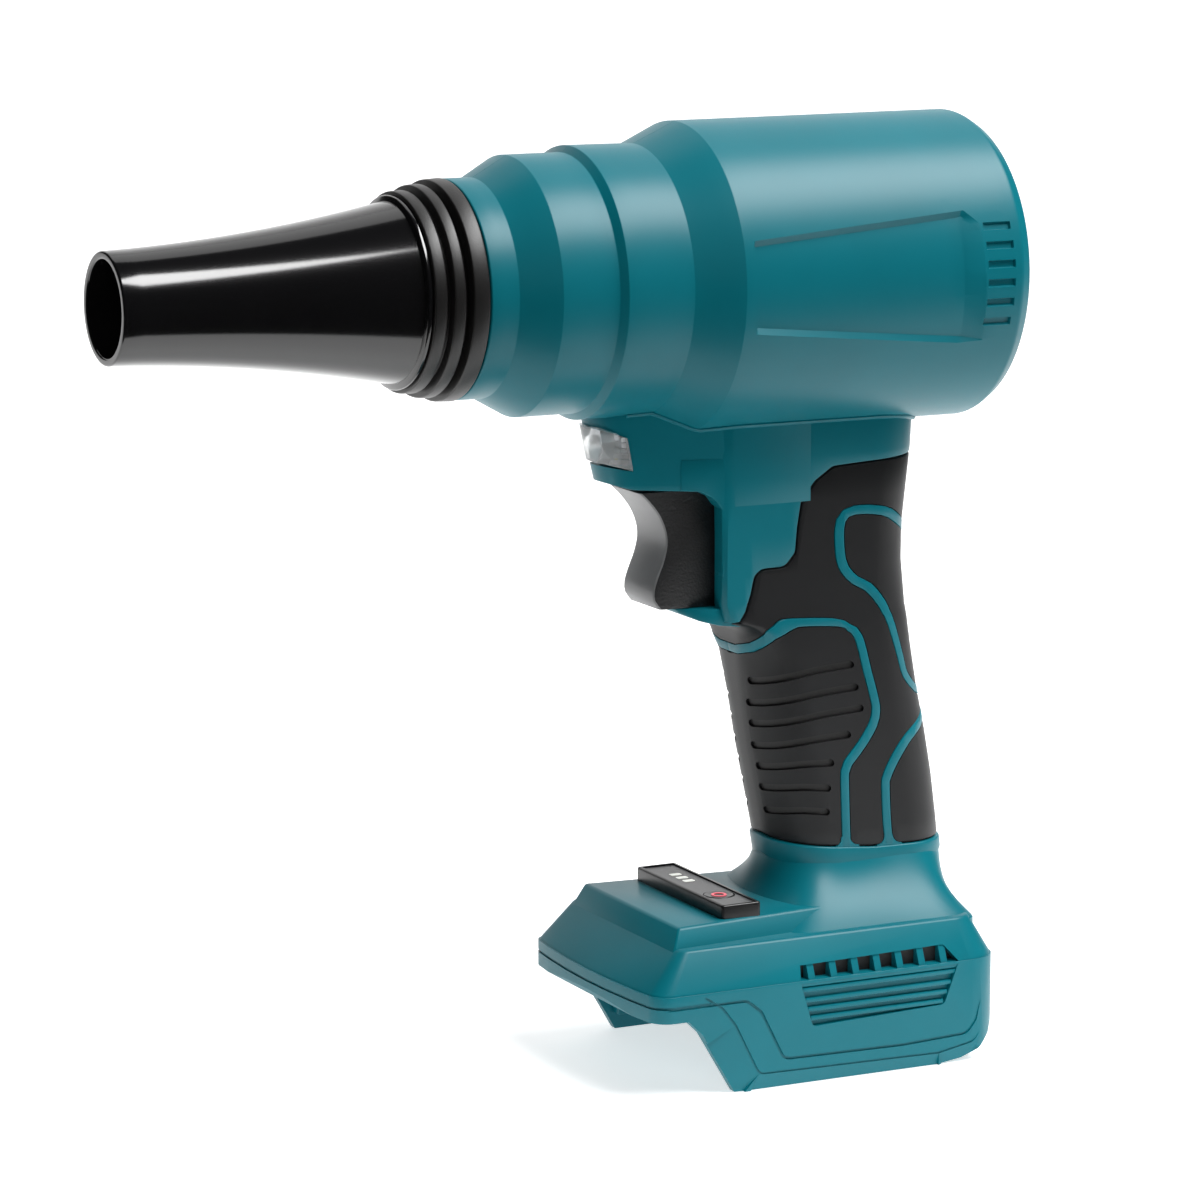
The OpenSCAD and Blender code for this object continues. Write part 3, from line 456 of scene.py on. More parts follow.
def dense_path(points: Sequence[Point], step: float) -> list[Point]:
    """Adds points along a path so that no stretch is longer than a step.

    Args:
        points: The path.
        step: The longest stretch.

    Returns:
        The path with its new points.
    """
    out: list[Point] = []
    for here, there in zip(points, points[1:]):
        count = max(1, math.ceil(math.dist(here, there) / step))
        out += [(here[0] + (there[0] - here[0]) * k / count, here[1] + (there[1] - here[1]) * k / count)
                for k in range(count)]
    return out + [tuple(points[-1])]


def smooth_path(points: Sequence[Point], step: float) -> list[Point]:
    """Draws a soft curve through some points.

    Args:
        points: The points.
        step: Spacing along the curve.

    Returns:
        Points of the curve.
    """
    ends = [points[0], *points, points[-1]]
    out: list[Point] = []
    for p0, p1, p2, p3 in zip(ends, ends[1:], ends[2:], ends[3:]):
        count = max(1, round(math.dist(p1, p2) / step))
        for k in range(count):
            t = k / count
            out.append(tuple(0.5 * (2 * b + (c - a) * t + (2 * a - 5 * b + 4 * c - d) * t * t
                                    + (3 * b - a - 3 * c + d) * t ** 3) for a, b, c, d in zip(p0, p1, p2, p3)))
    return out + [tuple(points[-1])]


def band(path: Sequence[Point], width: float, round_ends: bool = False) -> list[Point]:
    """Outline of a band of even width along an open path.

    Args:
        path: The band's middle line.
        width: Its width.
        round_ends: Whether its ends are half circles.

    Returns:
        The outline.
    """
    left: list[Point] = []
    right: list[Point] = []
    last = len(path) - 1
    for i, spot in enumerate(path):
        along = (Vector(path[min(i + 1, last)]) - Vector(path[max(i - 1, 0)])).normalized()
        across = Vector((-along.y, along.x)) * (width / 2)
        left.append(tuple(Vector(spot) + across))
        right.append(tuple(Vector(spot) - across))
    if not round_ends:
        return left + right[::-1]
    tip = []
    for spot, other in ((path[-1], path[-2]), (path[0], path[1])):
        along = (Vector(spot) - Vector(other)).normalized() * (width / 2)
        across = Vector((-along.y, along.x))
        tip.append([tuple(Vector(spot) + along * math.sin(a) + across * math.cos(a))
                    for a in (math.pi * k / 6 for k in range(1, 6))])
    return left + tip[0] + right[::-1] + tip[1]


def loft(loops: Sequence[Sequence[Vector]]) -> BMesh:
    """Bridges closed loops and caps both ends.

    Args:
        loops: Loops in order, each with the same number of points.

    Returns:
        The closed solid.
    """
    bm = bmesh.new()
    rings = [[bm.verts.new(p) for p in loop] for loop in loops]
    count = len(rings[0])
    for low, high in zip(rings, rings[1:]):
        for i in range(count):
            j = (i + 1) % count
            bm.faces.new((low[i], low[j], high[j], high[i]))
    bm.faces.new(rings[0][::-1])
    bm.faces.new(rings[-1])
    outward(bm)
    return bm


def tube(path: Sequence[Vector], radius: float, sides: int = 10) -> BMesh:
    """Sweeps a circle along a path that never runs straight up.

    Args:
        path: The path.
        radius: Radius of the circle.
        sides: Points of the circle.

    Returns:
        The closed solid.
    """
    loops = []
    last = len(path) - 1
    for i, spot in enumerate(path):
        along = (path[min(i + 1, last)] - path[max(i - 1, 0)]).normalized()
        across = along.cross(Vector((0, 0, 1))).normalized()
        over = across.cross(along)
        loops.append([spot + (across * math.cos(a) + over * math.sin(a)) * radius
                      for a in (math.tau * k / sides for k in range(sides))])
    return loft(loops)


def hull(points: Iterable[Place]) -> BMesh:
    """Makes the convex solid round some points.

    Args:
        points: The points; those inside the solid are dropped.

    Returns:
        The solid.
    """
    bm = bmesh.new()
    verts = [bm.verts.new(p) for p in points]
    bmesh.ops.convex_hull(bm, input=verts)
    loose = [v for v in bm.verts if not v.link_faces]
    bmesh.ops.delete(bm, geom=loose, context="VERTS")
    bmesh.ops.dissolve_limit(bm, angle_limit=0.02, verts=bm.verts, edges=bm.edges)
    outward(bm)
    return bm


def box(low: Place, high: Place) -> BMesh:
    """Box between two corners."""
    return prism([(low[0], low[1]), (high[0], low[1]), (high[0], high[1]), (low[0], high[1])], low[2], high[2])


def side_slab(outline: Sequence[Point], near: float, far: float) -> BMesh:
    """Makes a prism of a side-view outline.

    Args:
        outline: Points in (station, height).
        near: Where it starts across the tool.
        far: Where it ends across the tool.

    Returns:
        The closed solid.
    """
    bm = prism(outline, near, far)
    for v in bm.verts:
        x, z, y = v.co
        v.co = Vector((x, y, z))
    outward(bm)
    return bm


def on_side(outline: Sequence[Point], side: Side, inner: float, outer: float) -> BMesh:
    """Prism of a side-view outline between two distances from the tool's middle, on one side of it."""
    return side_slab(outline, *sorted((side.value * inner, side.value * outer)))


def side_box(side: Side, low: Place, high: Place) -> BMesh:
    """Box on one side of the tool between two corners of (station, distance from the middle, height)."""
    near, far = sorted((side.value * low[1], side.value * high[1]))
    return box((low[0], near, low[2]), (high[0], far, high[2]))


def smooth_shading(obj: bpy.types.Object, sharper_than: float) -> None:
    """Shades a piece smooth, with sharp edges past an angle.

    Args:
        obj: The piece.
        sharper_than: The angle, in degrees.
    """
    mesh = obj.data
    limit = math.radians(sharper_than)
    bm = bmesh.new()
    bm.from_mesh(mesh)
    for e in bm.edges:
        e.smooth = not (e.is_manifold and e.calc_face_angle(0) > limit)
    for f in bm.faces:
        f.smooth = True
    bm.to_mesh(mesh)
    bm.free()


class Workshop:
    """Turns finished meshes into pieces of the tool and keeps count of them."""

    def __init__(self) -> None:
        """Starts with no pieces."""
        self.made = 0

    def piece(self, name: str, bm: BMesh, finishes: Sequence[Finish], body: Body,
              replaces: Sequence[str] = (), sharper_than: float = 32.0) -> None:
        """Makes a piece from a mesh in millimetres.

        Args:
            name: Name of the piece.
            bm: Its mesh, which is freed.
            finishes: One finish for each material index of the mesh.
            body: The body that it rides on.
            replaces: CAD nodes that it stands for.
            sharper_than: Angle past which an edge is shaded sharp, in degrees.
        """
        bmesh.ops.remove_doubles(bm, verts=bm.verts, dist=WELD)
        bmesh.ops.dissolve_degenerate(bm, edges=bm.edges, dist=WELD / 2)
        bmesh.ops.scale(bm, vec=(MM, MM, MM), verts=bm.verts)
        mesh = bpy.data.meshes.new(name)
        bm.to_mesh(mesh)
        bm.free()
        obj = bpy.data.objects.new(name, mesh)
        bpy.context.scene.collection.objects.link(obj)
        for finish in finishes:
            mesh.materials.append(finish.material())
        smooth_shading(obj, sharper_than)
        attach(obj, body.value)
        if replaces:
            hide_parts(*replaces)
        self.made += 1
        LOG.info("%s: %d faces on %s", name, len(mesh.polygons), body.value)

    def shell(self, name: str, bm: BMesh, sharper_than: float, replaces: Sequence[str] = ()) -> None:
        """Makes a teal piece of the housing, as `piece` does."""
        self.piece(name, bm, [TEAL], Body.HOUSING, replaces, sharper_than)


# Nozzle --------------------------------------------------------------------


@dataclass
class Nozzle:
    """The tapered glossy tube and its ribbed collar."""

    mouth_r: float = 13.2
    wall: float = 2.2
    length: float = 84.0
    root_r: float = 25.4
    slope: float = 0.03
    rib_starts: tuple[float, ...] = (84.4, 89.5, 94.6)
    rib_ends: tuple[float, ...] = (88.0, 92.8, 99.3)
    rib_radii: tuple[float, ...] = (27.9, 29.4, 30.7)
    groove_r: float = 26.0
    shoulder: float = 99.6
    spigot_r: float = 27.2
    spigot_end: float = 112.0
    spigot_wall: float = 2.4
    turn_steps: int = 160

    def tube_radius(self, x: float) -> float:
        """Outer radius of the tube at a station."""
        t = x / self.length
        outer = self.mouth_r + self.wall
        rise = self.root_r - outer - self.slope * self.length
        return outer + self.slope * self.length * t + rise * t * t

    def build_tube(self, shop: Workshop) -> None:
        """Makes the tube, with a rounded lip at its mouth and its spigot in the barrel."""
        lip_end, throat, bead_start, bead_r, neck_r = 6.0, 11.0, 82.4, 26.7, 24.6
        lip = rounded([(throat, self.mouth_r), (0.0, self.mouth_r), (0.0, self.tube_radius(0)),
                       (lip_end, self.tube_radius(lip_end))], [0, 0.55, 0.55, 0], steps=6, closed=False)
        stations = [x for x in spans(lip_end, self.length, 2.4) if x < bead_start - 0.2]
        outside = [(x, self.tube_radius(x)) for x in stations]
        bead = rounded([(bead_start, self.tube_radius(bead_start)), (82.9, bead_r), (84.2, bead_r), (84.2, neck_r)],
                       [0.3, 0.5, 0.4, 0], steps=4, closed=False)
        bore = self.spigot_r - self.spigot_wall
        spigot = [(self.shoulder, neck_r), (self.shoulder, self.spigot_r), (self.spigot_end, self.spigot_r),
                  (self.spigot_end, bore), (104.0, bore), (self.shoulder, 22.6)]
        inside = [(x, self.tube_radius(x) - self.wall) for x in spans(throat, self.length, 5.0)][::-1]
        tube = spun(lip + outside + bead + spigot + inside, self.turn_steps)
        shop.piece("nozzle_tube", tube, [NOZZLE_GLOSS], Body.NOZZLE, ["nozzle"], sharper_than=40)

    def build_collar(self, shop: Workshop) -> None:
        """Makes the three stepped ribs with deep grooves between them."""
        root_r, lead_in = 24.9, 0.25
        profile: list[Point] = [(self.length, root_r)]
        radii: list[float] = [0.0]
        for start, end, r in zip(self.rib_starts, self.rib_ends, self.rib_radii):
            profile += [(start, self.groove_r), (start, r - lead_in), (end, r), (end, self.groove_r)]
            radii += [0.3, 0.45, 0.45, 0.3]
        profile[-1] = (self.rib_ends[-1], root_r)
        radii[-1] = 0.0
        ribs = spun(rounded(profile, radii, steps=3), self.turn_steps)
        shop.piece("collar_ribs", ribs, [RIB_BLACK], Body.NOZZLE, ["nozzle_collar"],
                   sharper_than=40)

    def build(self, shop: Workshop) -> None:
        """Builds both pieces."""
        self.build_tube(shop)
        self.build_collar(shop)


# Barrel --------------------------------------------------------------------

OUTER_SHEET = 42.9  # radius past which the main barrel's sheet is its outer surface


@dataclass
class Recess:
    """A shallow pocket with sloping walls on the side of the barrel.

    Attributes:
        corners: Outer outline in (station, arc length), anticlockwise.
        walls: Width of the sloping wall along each edge.
        depth: Depth of the floor.
    """

    corners: tuple[Point, ...]
    walls: tuple[float, ...]
    depth: float

    def lines(self) -> list[tuple[Vector, Vector, float]]:
        """A point, the inward normal and the wall's width for each edge."""
        out = []
        for i, corner in enumerate(self.corners):
            here, there = Vector(corner), Vector(self.corners[(i + 1) % len(self.corners)])
            along = (there - here).normalized()
            out.append((here, Vector((-along.y, along.x)), self.walls[i]))
        return out

    def depth_at(self, x: float, s: float) -> float:
        """Depth of the pocket at a place, 0 outside it."""
        spot = Vector((x, s))
        share = min((spot - here).dot(inward) / wall for here, inward, wall in self.lines())
        return self.depth * max(0.0, min(1.0, share))

    def score(self, bm: BMesh, margin: float = 4.0) -> None:
        """Cuts the flat sheet along the top and the foot of every wall.

        Args:
            bm: The sheet.
            margin: How far from the pocket the cuts may run.
        """
        xs, ss = [c[0] for c in self.corners], [c[1] for c in self.corners]
        for here, inward, wall in self.lines():
            for shift in (0.0, wall):
                faces = [f for f in bm.faces if self._near(f, xs, ss, margin)]
                geom = list({v for f in faces for v in f.verts})
                geom += list({e for f in faces for e in f.edges}) + faces
                spot = here + inward * shift
                bmesh.ops.bisect_plane(bm, geom=geom, dist=WELD, plane_co=(spot.x, spot.y, 0),
                                       plane_no=(inward.x, inward.y, 0))

    @staticmethod
    def _near(face: BMFace, xs: Sequence[float], ss: Sequence[float], margin: float) -> bool:
        """Whether a face of the sheet lies near the pocket and on its outer surface."""
        mid = face.calc_center_median()
        close = min(xs) - margin < mid.x < max(xs) + margin and min(ss) - margin < mid.y < max(ss) + margin
        return close and mid.z > OUTER_SHEET


@dataclass
class Barrel:
    """The round housing: socket, cones, waist and main barrel with its side recesses."""

    main_r: float = 44.0
    seam: float = 0.05
    steps: int = 64

    def outside(self) -> list[Point]:
        """Outer line from the socket's mouth to the rear lip."""
        corners = [(99.75, 28.0), (99.75, 30.5), (108.0, 30.5), (118.4, 36.3), (135.4, 36.3), (137.3, 38.2),
                   (157.4, 38.0), (170.4, 43.8), (258.2, 44.0), (261.7, 41.8), (261.7, 39.6)]
        radii = [0, 0.5, 0.7, 0.8, 0.5, 0.5, 0.7, 0.9, 2.6, 0.9, 0]
        return rounded(corners, radii, steps=4, closed=False)

    def inside(self) -> list[Point]:
        """Inner line from the rear lip back to the socket."""
        return [(254.4, 39.6), (254.4, 41.6), (172.0, 41.6), (158.0, 35.6), (137.5, 35.6), (135.2, 33.9),
                (118.4, 33.9), (110.7, 29.9), (110.7, 28.0)]

    def pockets(self) -> list[Recess]:
        """The long recess and the six short slots of one side, in unrolled coordinates."""
        def arc(z: float) -> float:
            """Arc length round the barrel at a height."""
            return self.main_r * math.asin(z / self.main_r)

        long_one = Recess(((174.3, arc(-11.9)), (239.2, arc(-18.0)), (247.2, arc(-17.6)), (244.9, arc(15.8)),
                           (240.8, arc(19.2)), (173.5, arc(13.9))), (1.5, 1.2, 6.2, 1.5, 1.5, 0.5), 1.35)
        front, rear, half = 246.6, 255.4, 1.15
        slots = [Recess(((front + shift, arc(z) - half), (rear + shift, arc(z) - half),
                         (rear + shift, arc(z) + half), (front + shift, arc(z) + half)), (0.3, 0.3, 0.3, 0.3), 0.9)
                 for z, shift in ((14.6, -0.3), (9.3, 0.0), (4.0, 0.3), (-1.3, 0.3), (-6.8, 0.2), (-12.3, -0.2))]
        return [long_one, *slots]

    def half(self, side: Side) -> BMesh:
        """Half of the barrel, split along the tool's middle plane.

        The section is first laid out flat as (station, arc length, radius), scored along the
        edges of the pockets and pressed in, and then wrapped round the air axis.

        Args:
            side: Which half.

        Returns:
            The closed half shell.
        """
        bm = bmesh.new()
        line = self.outside() + self.inside()
        reach = math.pi * self.main_r / 2 - self.seam
        edges = loop_edges(bm, [Vector((x, -reach, r)) for x, r in self._dense(line)], closed=True)
        geom = edges + list({v for e in edges for v in e.verts})
        bmesh.ops.spin(bm, geom=geom, cent=(0, 0, 0), axis=(0, 0, 1), angle=0.0, steps=self.steps,
                       dvec=(0, 2 * reach / self.steps, 0), use_merge=False)
        outward(bm)
        pockets = self.pockets()
        for pocket in pockets:
            pocket.score(bm)
        for v in bm.verts:
            if v.co.z > OUTER_SHEET:
                v.co.z -= max(pocket.depth_at(v.co.x, v.co.y) for pocket in pockets)
        ends = [e for e in bm.edges if e.is_boundary]
        bmesh.ops.holes_fill(bm, edges=ends, sides=0)

        def wrap(p: Vector) -> Vector:
            """Place in the tool of a place on the sheet."""
            angle = p.y / self.main_r
            return Vector((p.x, side.value * p.z * math.cos(angle), p.z * math.sin(angle)))

        warp(bm, wrap)
        outward(bm)
        return bm

    @staticmethod
    def _dense(line: Sequence[Point], step: float = 6.0) -> list[Point]:
        """Adds stations along the long straight stretches of a closed line.

        Args:
            line: The line.
            step: The longest stretch.

        Returns:
            The line with its new points.
        """
        out: list[Point] = []
        for i, here in enumerate(line):
            there = line[(i + 1) % len(line)]
            out.append(here)
            length = math.dist(here, there)
            count = int(length // step)
            out += [tuple(Vector(here).lerp(Vector(there), k / (count + 1))) for k in range(1, count + 1)]
        return out

    def build(self, shop: Workshop) -> None:
        """Builds the two halves."""
        for side in Side:
            name = side.name.lower()
            shop.shell(f"barrel_{name}", self.half(side), 14, [f"housing_{name}"])


# Handle --------------------------------------------------------------------


@dataclass(frozen=True)
class HandleForm:
    """The handle's surface, unrolled from its front line to its rear line.

    Attributes:
        table: Rows of height, front, rear, half width, front and rear corner radius.
        width: Width of the unrolled sheet.
    """

    table: tuple[tuple[float, ...], ...] = (
        (-30.0, 178.0, 245.8, 15.8, 1.2, 15.0),
        (-51.0, 178.0, 244.7, 15.8, 1.2, 15.0),
        (-63.5, 178.0, 243.2, 15.9, 1.2, 15.0),
        (-73.5, 178.3, 242.0, 16.0, 1.2, 15.0),
        (-84.0, 178.3, 241.8, 16.2, 1.2, 15.0),
        (-92.0, 178.2, 242.5, 16.4, 1.2, 15.0),
        (-97.0, 179.2, 243.0, 16.6, 3.0, 15.2),
        (-99.0, 184.2, 243.4, 16.7, 6.0, 15.3),
        (-101.6, 186.9, 243.9, 16.8, 9.0, 15.4),
        (-109.2, 188.7, 245.0, 17.0, 13.5, 15.6),
        (-122.0, 190.8, 247.2, 17.2, 15.5, 15.8),
        (-134.8, 192.9, 250.0, 17.2, 15.8, 15.8),
        (-147.7, 195.5, 252.4, 17.1, 15.8, 15.8),
        (-160.5, 198.2, 254.2, 17.0, 15.8, 15.8),
        (-176.0, 200.8, 256.0, 17.0, 15.8, 15.8),
    )
    width: float = 76.0

    def lengths(self, z: float) -> tuple[float, ...]:
        """Reads the section at a height.

        Args:
            z: The height.

        Returns:
            The front, rear, half width and two corner radii, and then the lengths of the section's
            five stretches: front flat, front corner, side, rear corner and rear flat.
        """
        front, rear, half, rf, rr = between(self.table, z)
        quarter = math.pi / 2
        return (front, rear, half, rf, rr, half - rf, rf * quarter, rear - front - rf - rr, rr * quarter,
                half - rr)

    def flat(self, x: float, z: float) -> Point:
        """Place on the unrolled sheet of a point in side view.

        Args:
            x: Station of the point.
            z: Height of the point.

        Returns:
            The place across the sheet, and the height.
        """
        front, rear, _, rf, rr, l1, l2, l3, l4, l5 = self.lengths(z)
        total = l1 + l2 + l3 + l4 + l5
        ahead, behind = x - front, rear - x
        if ahead < rf:
            s = l1 + rf * math.acos(max(-1.0, min(1.0, 1 - max(ahead, 0) / rf)))
        elif behind < rr:
            s = total - l5 - rr * math.acos(max(-1.0, min(1.0, 1 - max(behind, 0) / rr)))
        else:
            s = l1 + l2 + ahead - rf
        return s / total * self.width, z

    def place(self, p: Vector) -> Vector:
        """Maps a place on the sheet onto the right side of the handle.

        Args:
            p: The place as (across the sheet, height, lift off the surface).

        Returns:
            The place in the tool.
        """
        front, rear, half, rf, rr, l1, l2, l3, l4, l5 = self.lengths(p.y)
        total = l1 + l2 + l3 + l4 + l5
        s = max(0.0, min(1.0, p.x / self.width)) * total
        if s < l1:
            x, y, nx, ny = front, s, -1.0, 0.0
        elif s < l1 + l2:
            a = (s - l1) / rf
            nx, ny = -math.cos(a), math.sin(a)
            x, y = front + rf * (1 + nx), half - rf + rf * ny
        elif s < l1 + l2 + l3:
            x, y, nx, ny = front + rf + s - l1 - l2, half, 0.0, 1.0
        elif s < total - l5:
            a = (total - l5 - s) / rr
            nx, ny = math.cos(a), math.sin(a)
            x, y = rear - rr * (1 - nx), half - rr + rr * ny
        else:
            x, y, nx, ny = rear, total - s, 1.0, 0.0
        return Vector((x + nx * p.z, y + ny * p.z, p.y))

    def wrap(self, bm: BMesh) -> BMesh:
        """Dices a flat solid and lays it on both sides of the handle.

        Args:
            bm: The flat solid.

        Returns:
            Both wrapped solids in one mesh.
        """
        xs = [v.co.x for v in bm.verts]
        zs = [v.co.y for v in bm.verts]
        dice(bm, 0, [s for s in spans(0.0, self.width, 1.6) if min(xs) < s < max(xs)])
        dice(bm, 1, [row[0] for row in self.table if min(zs) < row[0] < max(zs)])
        warp(bm, self.place)
        outward(bm)
        return joined([bm, mirrored(bm)])

    def loop(self, z: float, lift: float, count: int = 36) -> list[Vector]:
        """Closed loop of the section at a height.

        Args:
            z: The height.
            lift: How far off the surface it lies.
            count: Stretches on each side.

        Returns:
            The loop's points.
        """
        right = [self.place(Vector((self.width * k / count, z, lift))) for k in range(count + 1)]
        left = [Vector((p.x, -p.y, p.z)) for p in reversed(right[1:-1])]
        return right + left


@dataclass
class Handle:
    """Rubber skin with inlaid stripes and grooves over the teal neck and base ring."""

    form: HandleForm = field(default_factory=HandleForm)
    edge: tuple[Point, ...] = ((236.6, -53.6), (213.7, -54.9), (207.9, -58.7), (203.4, -64.3), (202.2, -71.5),
                               (201.5, -78.8), (198.2, -82.6), (190.8, -82.8), (188.4, -84.4), (187.2, -89.5),
                               (185.4, -94.6), (183.6, -97.4))
    front_top: float = -98.8
    front_low: float = -162.4
    rear_low: float = -166.6
    rear_top: float = -53.2
    neck_top: float = -34.0
    gap: float = 0.55
    skin: float = 1.3
    stripe: float = 2.6
    groove: float = 2.2
    groove_depth: float = 0.95
    channel_depth: float = 0.8
    channel_gap: float = 0.25
    stripe_root: float = 1.0
    foot_radius: float = 2.8
    ring_lift: float = 0.6
    neck_half: float = 15.95
    nose_r: float = 11.0
    stripes: tuple[tuple[Point, ...], ...] = (
        ((242.2, -76.6), (240.6, -75.0), (236.5, -72.0), (230.1, -68.6), (220.3, -67.7), (215.9, -70.4),
         (215.6, -79.2), (217.2, -84.5), (220.7, -88.0), (224.8, -90.2), (229.1, -95.0), (232.5, -101.3),
         (236.0, -111.3), (238.0, -117.0), (242.6, -121.6), (247.4, -124.0)),
        ((188.2, -107.2), (189.6, -105.6), (193.7, -101.6), (198.6, -99.1), (201.9, -98.6),
         (214.4, -99.6), (218.5, -101.4), (221.5, -104.4), (224.4, -114.5), (226.8, -122.9), (227.3, -126.3),
         (226.4, -130.3), (222.8, -135.8), (218.2, -141.1), (217.3, -143.5), (217.6, -153.4), (218.2, -166.1)),
        ((248.8, -129.2), (245.4, -131.2), (238.8, -135.0), (234.9, -139.4), (231.7, -144.9), (230.8, -147.3),
         (231.4, -159.0), (232.4, -167.0)),
    )
    groove_starts: tuple[Point, ...] = ((191.0, -116.0), (191.6, -122.7), (192.6, -128.9), (193.6, -135.5),
                                        (195.0, -141.7), (196.2, -148.0), (197.7, -154.9))
    groove_ends: tuple[Point, ...] = ((218.9, -112.2), (220.4, -118.9), (222.1, -125.2), (218.0, -132.6),
                                      (212.6, -140.4), (211.7, -147.7), (211.4, -154.7))

    def flat_path(self, points: Sequence[Point]) -> list[Point]:
        """Lays a side-view path on the unrolled sheet."""
        return [self.form.flat(x, z) for x, z in points]

    def soft_edge(self) -> list[Point]:
        """The rubber's edge in side view, with its corners rounded."""
        radii = [0.0] + [3.2] * (len(self.edge) - 2) + [0.0]
        return dense_path(rounded(self.edge, radii, 4, closed=False), 1.6)

    def stripe_path(self, points: Sequence[Point], beyond: float) -> list[Point]:
        """Lays a stripe on the sheet.

        Args:
            points: The stripe's middle line in side view.
            beyond: How far an end that is close to the sheet's edge runs past it.

        Returns:
            The middle line on the sheet.
        """
        width, near = self.form.width, 2.5
        path = [p for p in self.flat_path(smooth_path(points, 2.2)) if near < p[0] < width - near]
        if self.form.flat(*points[0])[0] < near * 2:
            path.insert(0, (-beyond, points[0][1]))
        if self.form.flat(*points[0])[0] > width - near * 2:
            path.insert(0, (width + beyond, points[0][1]))
        if self.form.flat(*points[-1])[0] > width - near * 2:
            path.append((width + beyond, points[-1][1]))
        return path

    def stripe_feet(self, path: Sequence[Point], half: float) -> list[list[Point]]:
        """Outlines that widen a stripe, in round corners, where it runs down into the base ring.

        Args:
            path: The stripe's middle line on the sheet.
            half: Half of the stripe's width.

        Returns:
            One outline for each end that reaches the ring.
        """
        radius, feet = self.foot_radius, []
        ring_reach, front_edge, fall = -160.0, -162.6, 3.6
        for s, z in (path[0], path[-1]):
            if z > ring_reach:
                continue
            edge = front_edge - fall * min(1.0, 2 * s / self.form.width)
            arc = [(half + radius * (1 - math.sin(a)), edge + radius * (1 - math.cos(a)))
                   for a in (math.radians(90 - 15 * k) for k in range(7))]
            right = [(s + dx, level) for dx, level in arc]
            left = [(s - dx, level) for dx, level in reversed(arc)]
            feet.append([*right, (s + half + radius, edge - 2), (s - half - radius, edge - 2), *left])
        return feet

    def rubber(self) -> BMesh:
        """The skin of one side, with its grooves and stripe channels, still flat."""
        width = self.form.width
        top = self.flat_path(self.soft_edge())
        outline = [(width, self.rear_top), *top, (0.0, self.front_top), (0.0, self.front_low), (width * 0.5, -166.0),
                   (width, self.rear_low)]
        skin = prism(outline, -self.skin, 0.0)
        soften(skin, 0.45, 2, 50, lambda e: all(v.co.z > -TOUCH for v in e.verts)
               and not all(v.co.x < TOUCH or v.co.x > width - TOUCH for v in e.verts))
        clear, bulge = 1.0, 0.8
        cutters = []
        for start, end in zip(self.groove_starts, self.groove_ends):
            middle = ((start[0] + end[0]) / 2, (start[1] + end[1]) / 2 + bulge)
            path = self.flat_path(smooth_path([start, middle, end], 3.0))
            cutters.append(prism(band(path, self.groove, round_ends=True), -self.groove_depth, clear))
        half = self.stripe / 2 + self.channel_gap
        for stripe in self.stripes:
            path = self.stripe_path(stripe, 1.5)
            for outline in [band(path, 2 * half), *self.stripe_feet(path, half)]:
                cutters.append(prism(outline, -self.channel_depth, clear))
        return boolean(skin, cutters)

    def teal_stripes(self) -> BMesh:
        """The inlaid stripes of one side, still flat."""
        lift, foot_lift = 0.12, 0.1
        strips = []
        for stripe in self.stripes:
            path = self.stripe_path(stripe, 0.0)
            strip = prism(band(path, self.stripe), -self.stripe_root, lift)
            soften(strip, 0.18, 2, 50, lambda e: all(v.co.z > lift - TOUCH for v in e.verts))
            feet = self.stripe_feet(path, self.stripe / 2)
            strips += [strip, *(prism(foot, -self.stripe_root, foot_lift) for foot in feet)]
        return joined(strips)

    def neck_skin(self) -> BMesh:
        """The teal skin of the neck above and ahead of the rubber, still flat."""
        width = self.form.width
        shift = self.gap * 0.75
        edge = self.flat_path([(x - shift, z + shift) for x, z in self.soft_edge()])
        slot_half, slot_z = 9.9, -70.0
        inner = slot_half / sum(self.form.lengths(slot_z)[5:]) * width
        outline = [(width, self.neck_top), (width, self.rear_top + self.gap), *edge, (inner, -98.0),
                   (inner, self.neck_top)]
        skin = prism(outline, -2.0, 0.0)
        soften(skin, 0.4, 2, 50, lambda e: all(v.co.z > -TOUCH for v in e.verts)
               and not all(v.co.x > width - TOUCH for v in e.verts))
        return skin

    def base_ring(self) -> BMesh:
        """The raised ring round the foot of the handle, still flat."""
        width = self.form.width
        outline = [(width, -167.1), (width * 0.5, -166.5), (0.0, -162.9), (0.0, -169.0), (width * 0.25, -171.6),
                   (width * 0.5, -172.6), (width * 0.75, -171.6), (width, -170.0)]
        ring = prism(outline, -2.2, self.ring_lift)
        soften(ring, 0.6, 3, 50, lambda e: all(v.co.z > self.ring_lift - TOUCH for v in e.verts)
               and not all(v.co.x < TOUCH or v.co.x > width - TOUCH for v in e.verts))
        return ring

    def nose(self) -> BMesh:
        """Front of the neck under the barrel, which carries the lamp."""
        def plan(z: float, front: float) -> list[Vector]:
            """Plan of the nose at a height, with its front at a station."""
            r, half = self.nose_r, self.neck_half
            arc = [Vector((front + r - r * math.cos(a), r * math.sin(a), z))
                   for a in (math.radians(-78 + 156 * k / 20) for k in range(21))]
            return arc + [Vector((x, y, z)) for x, y in ((182, half), (206, half), (206, -half), (182, -half))]

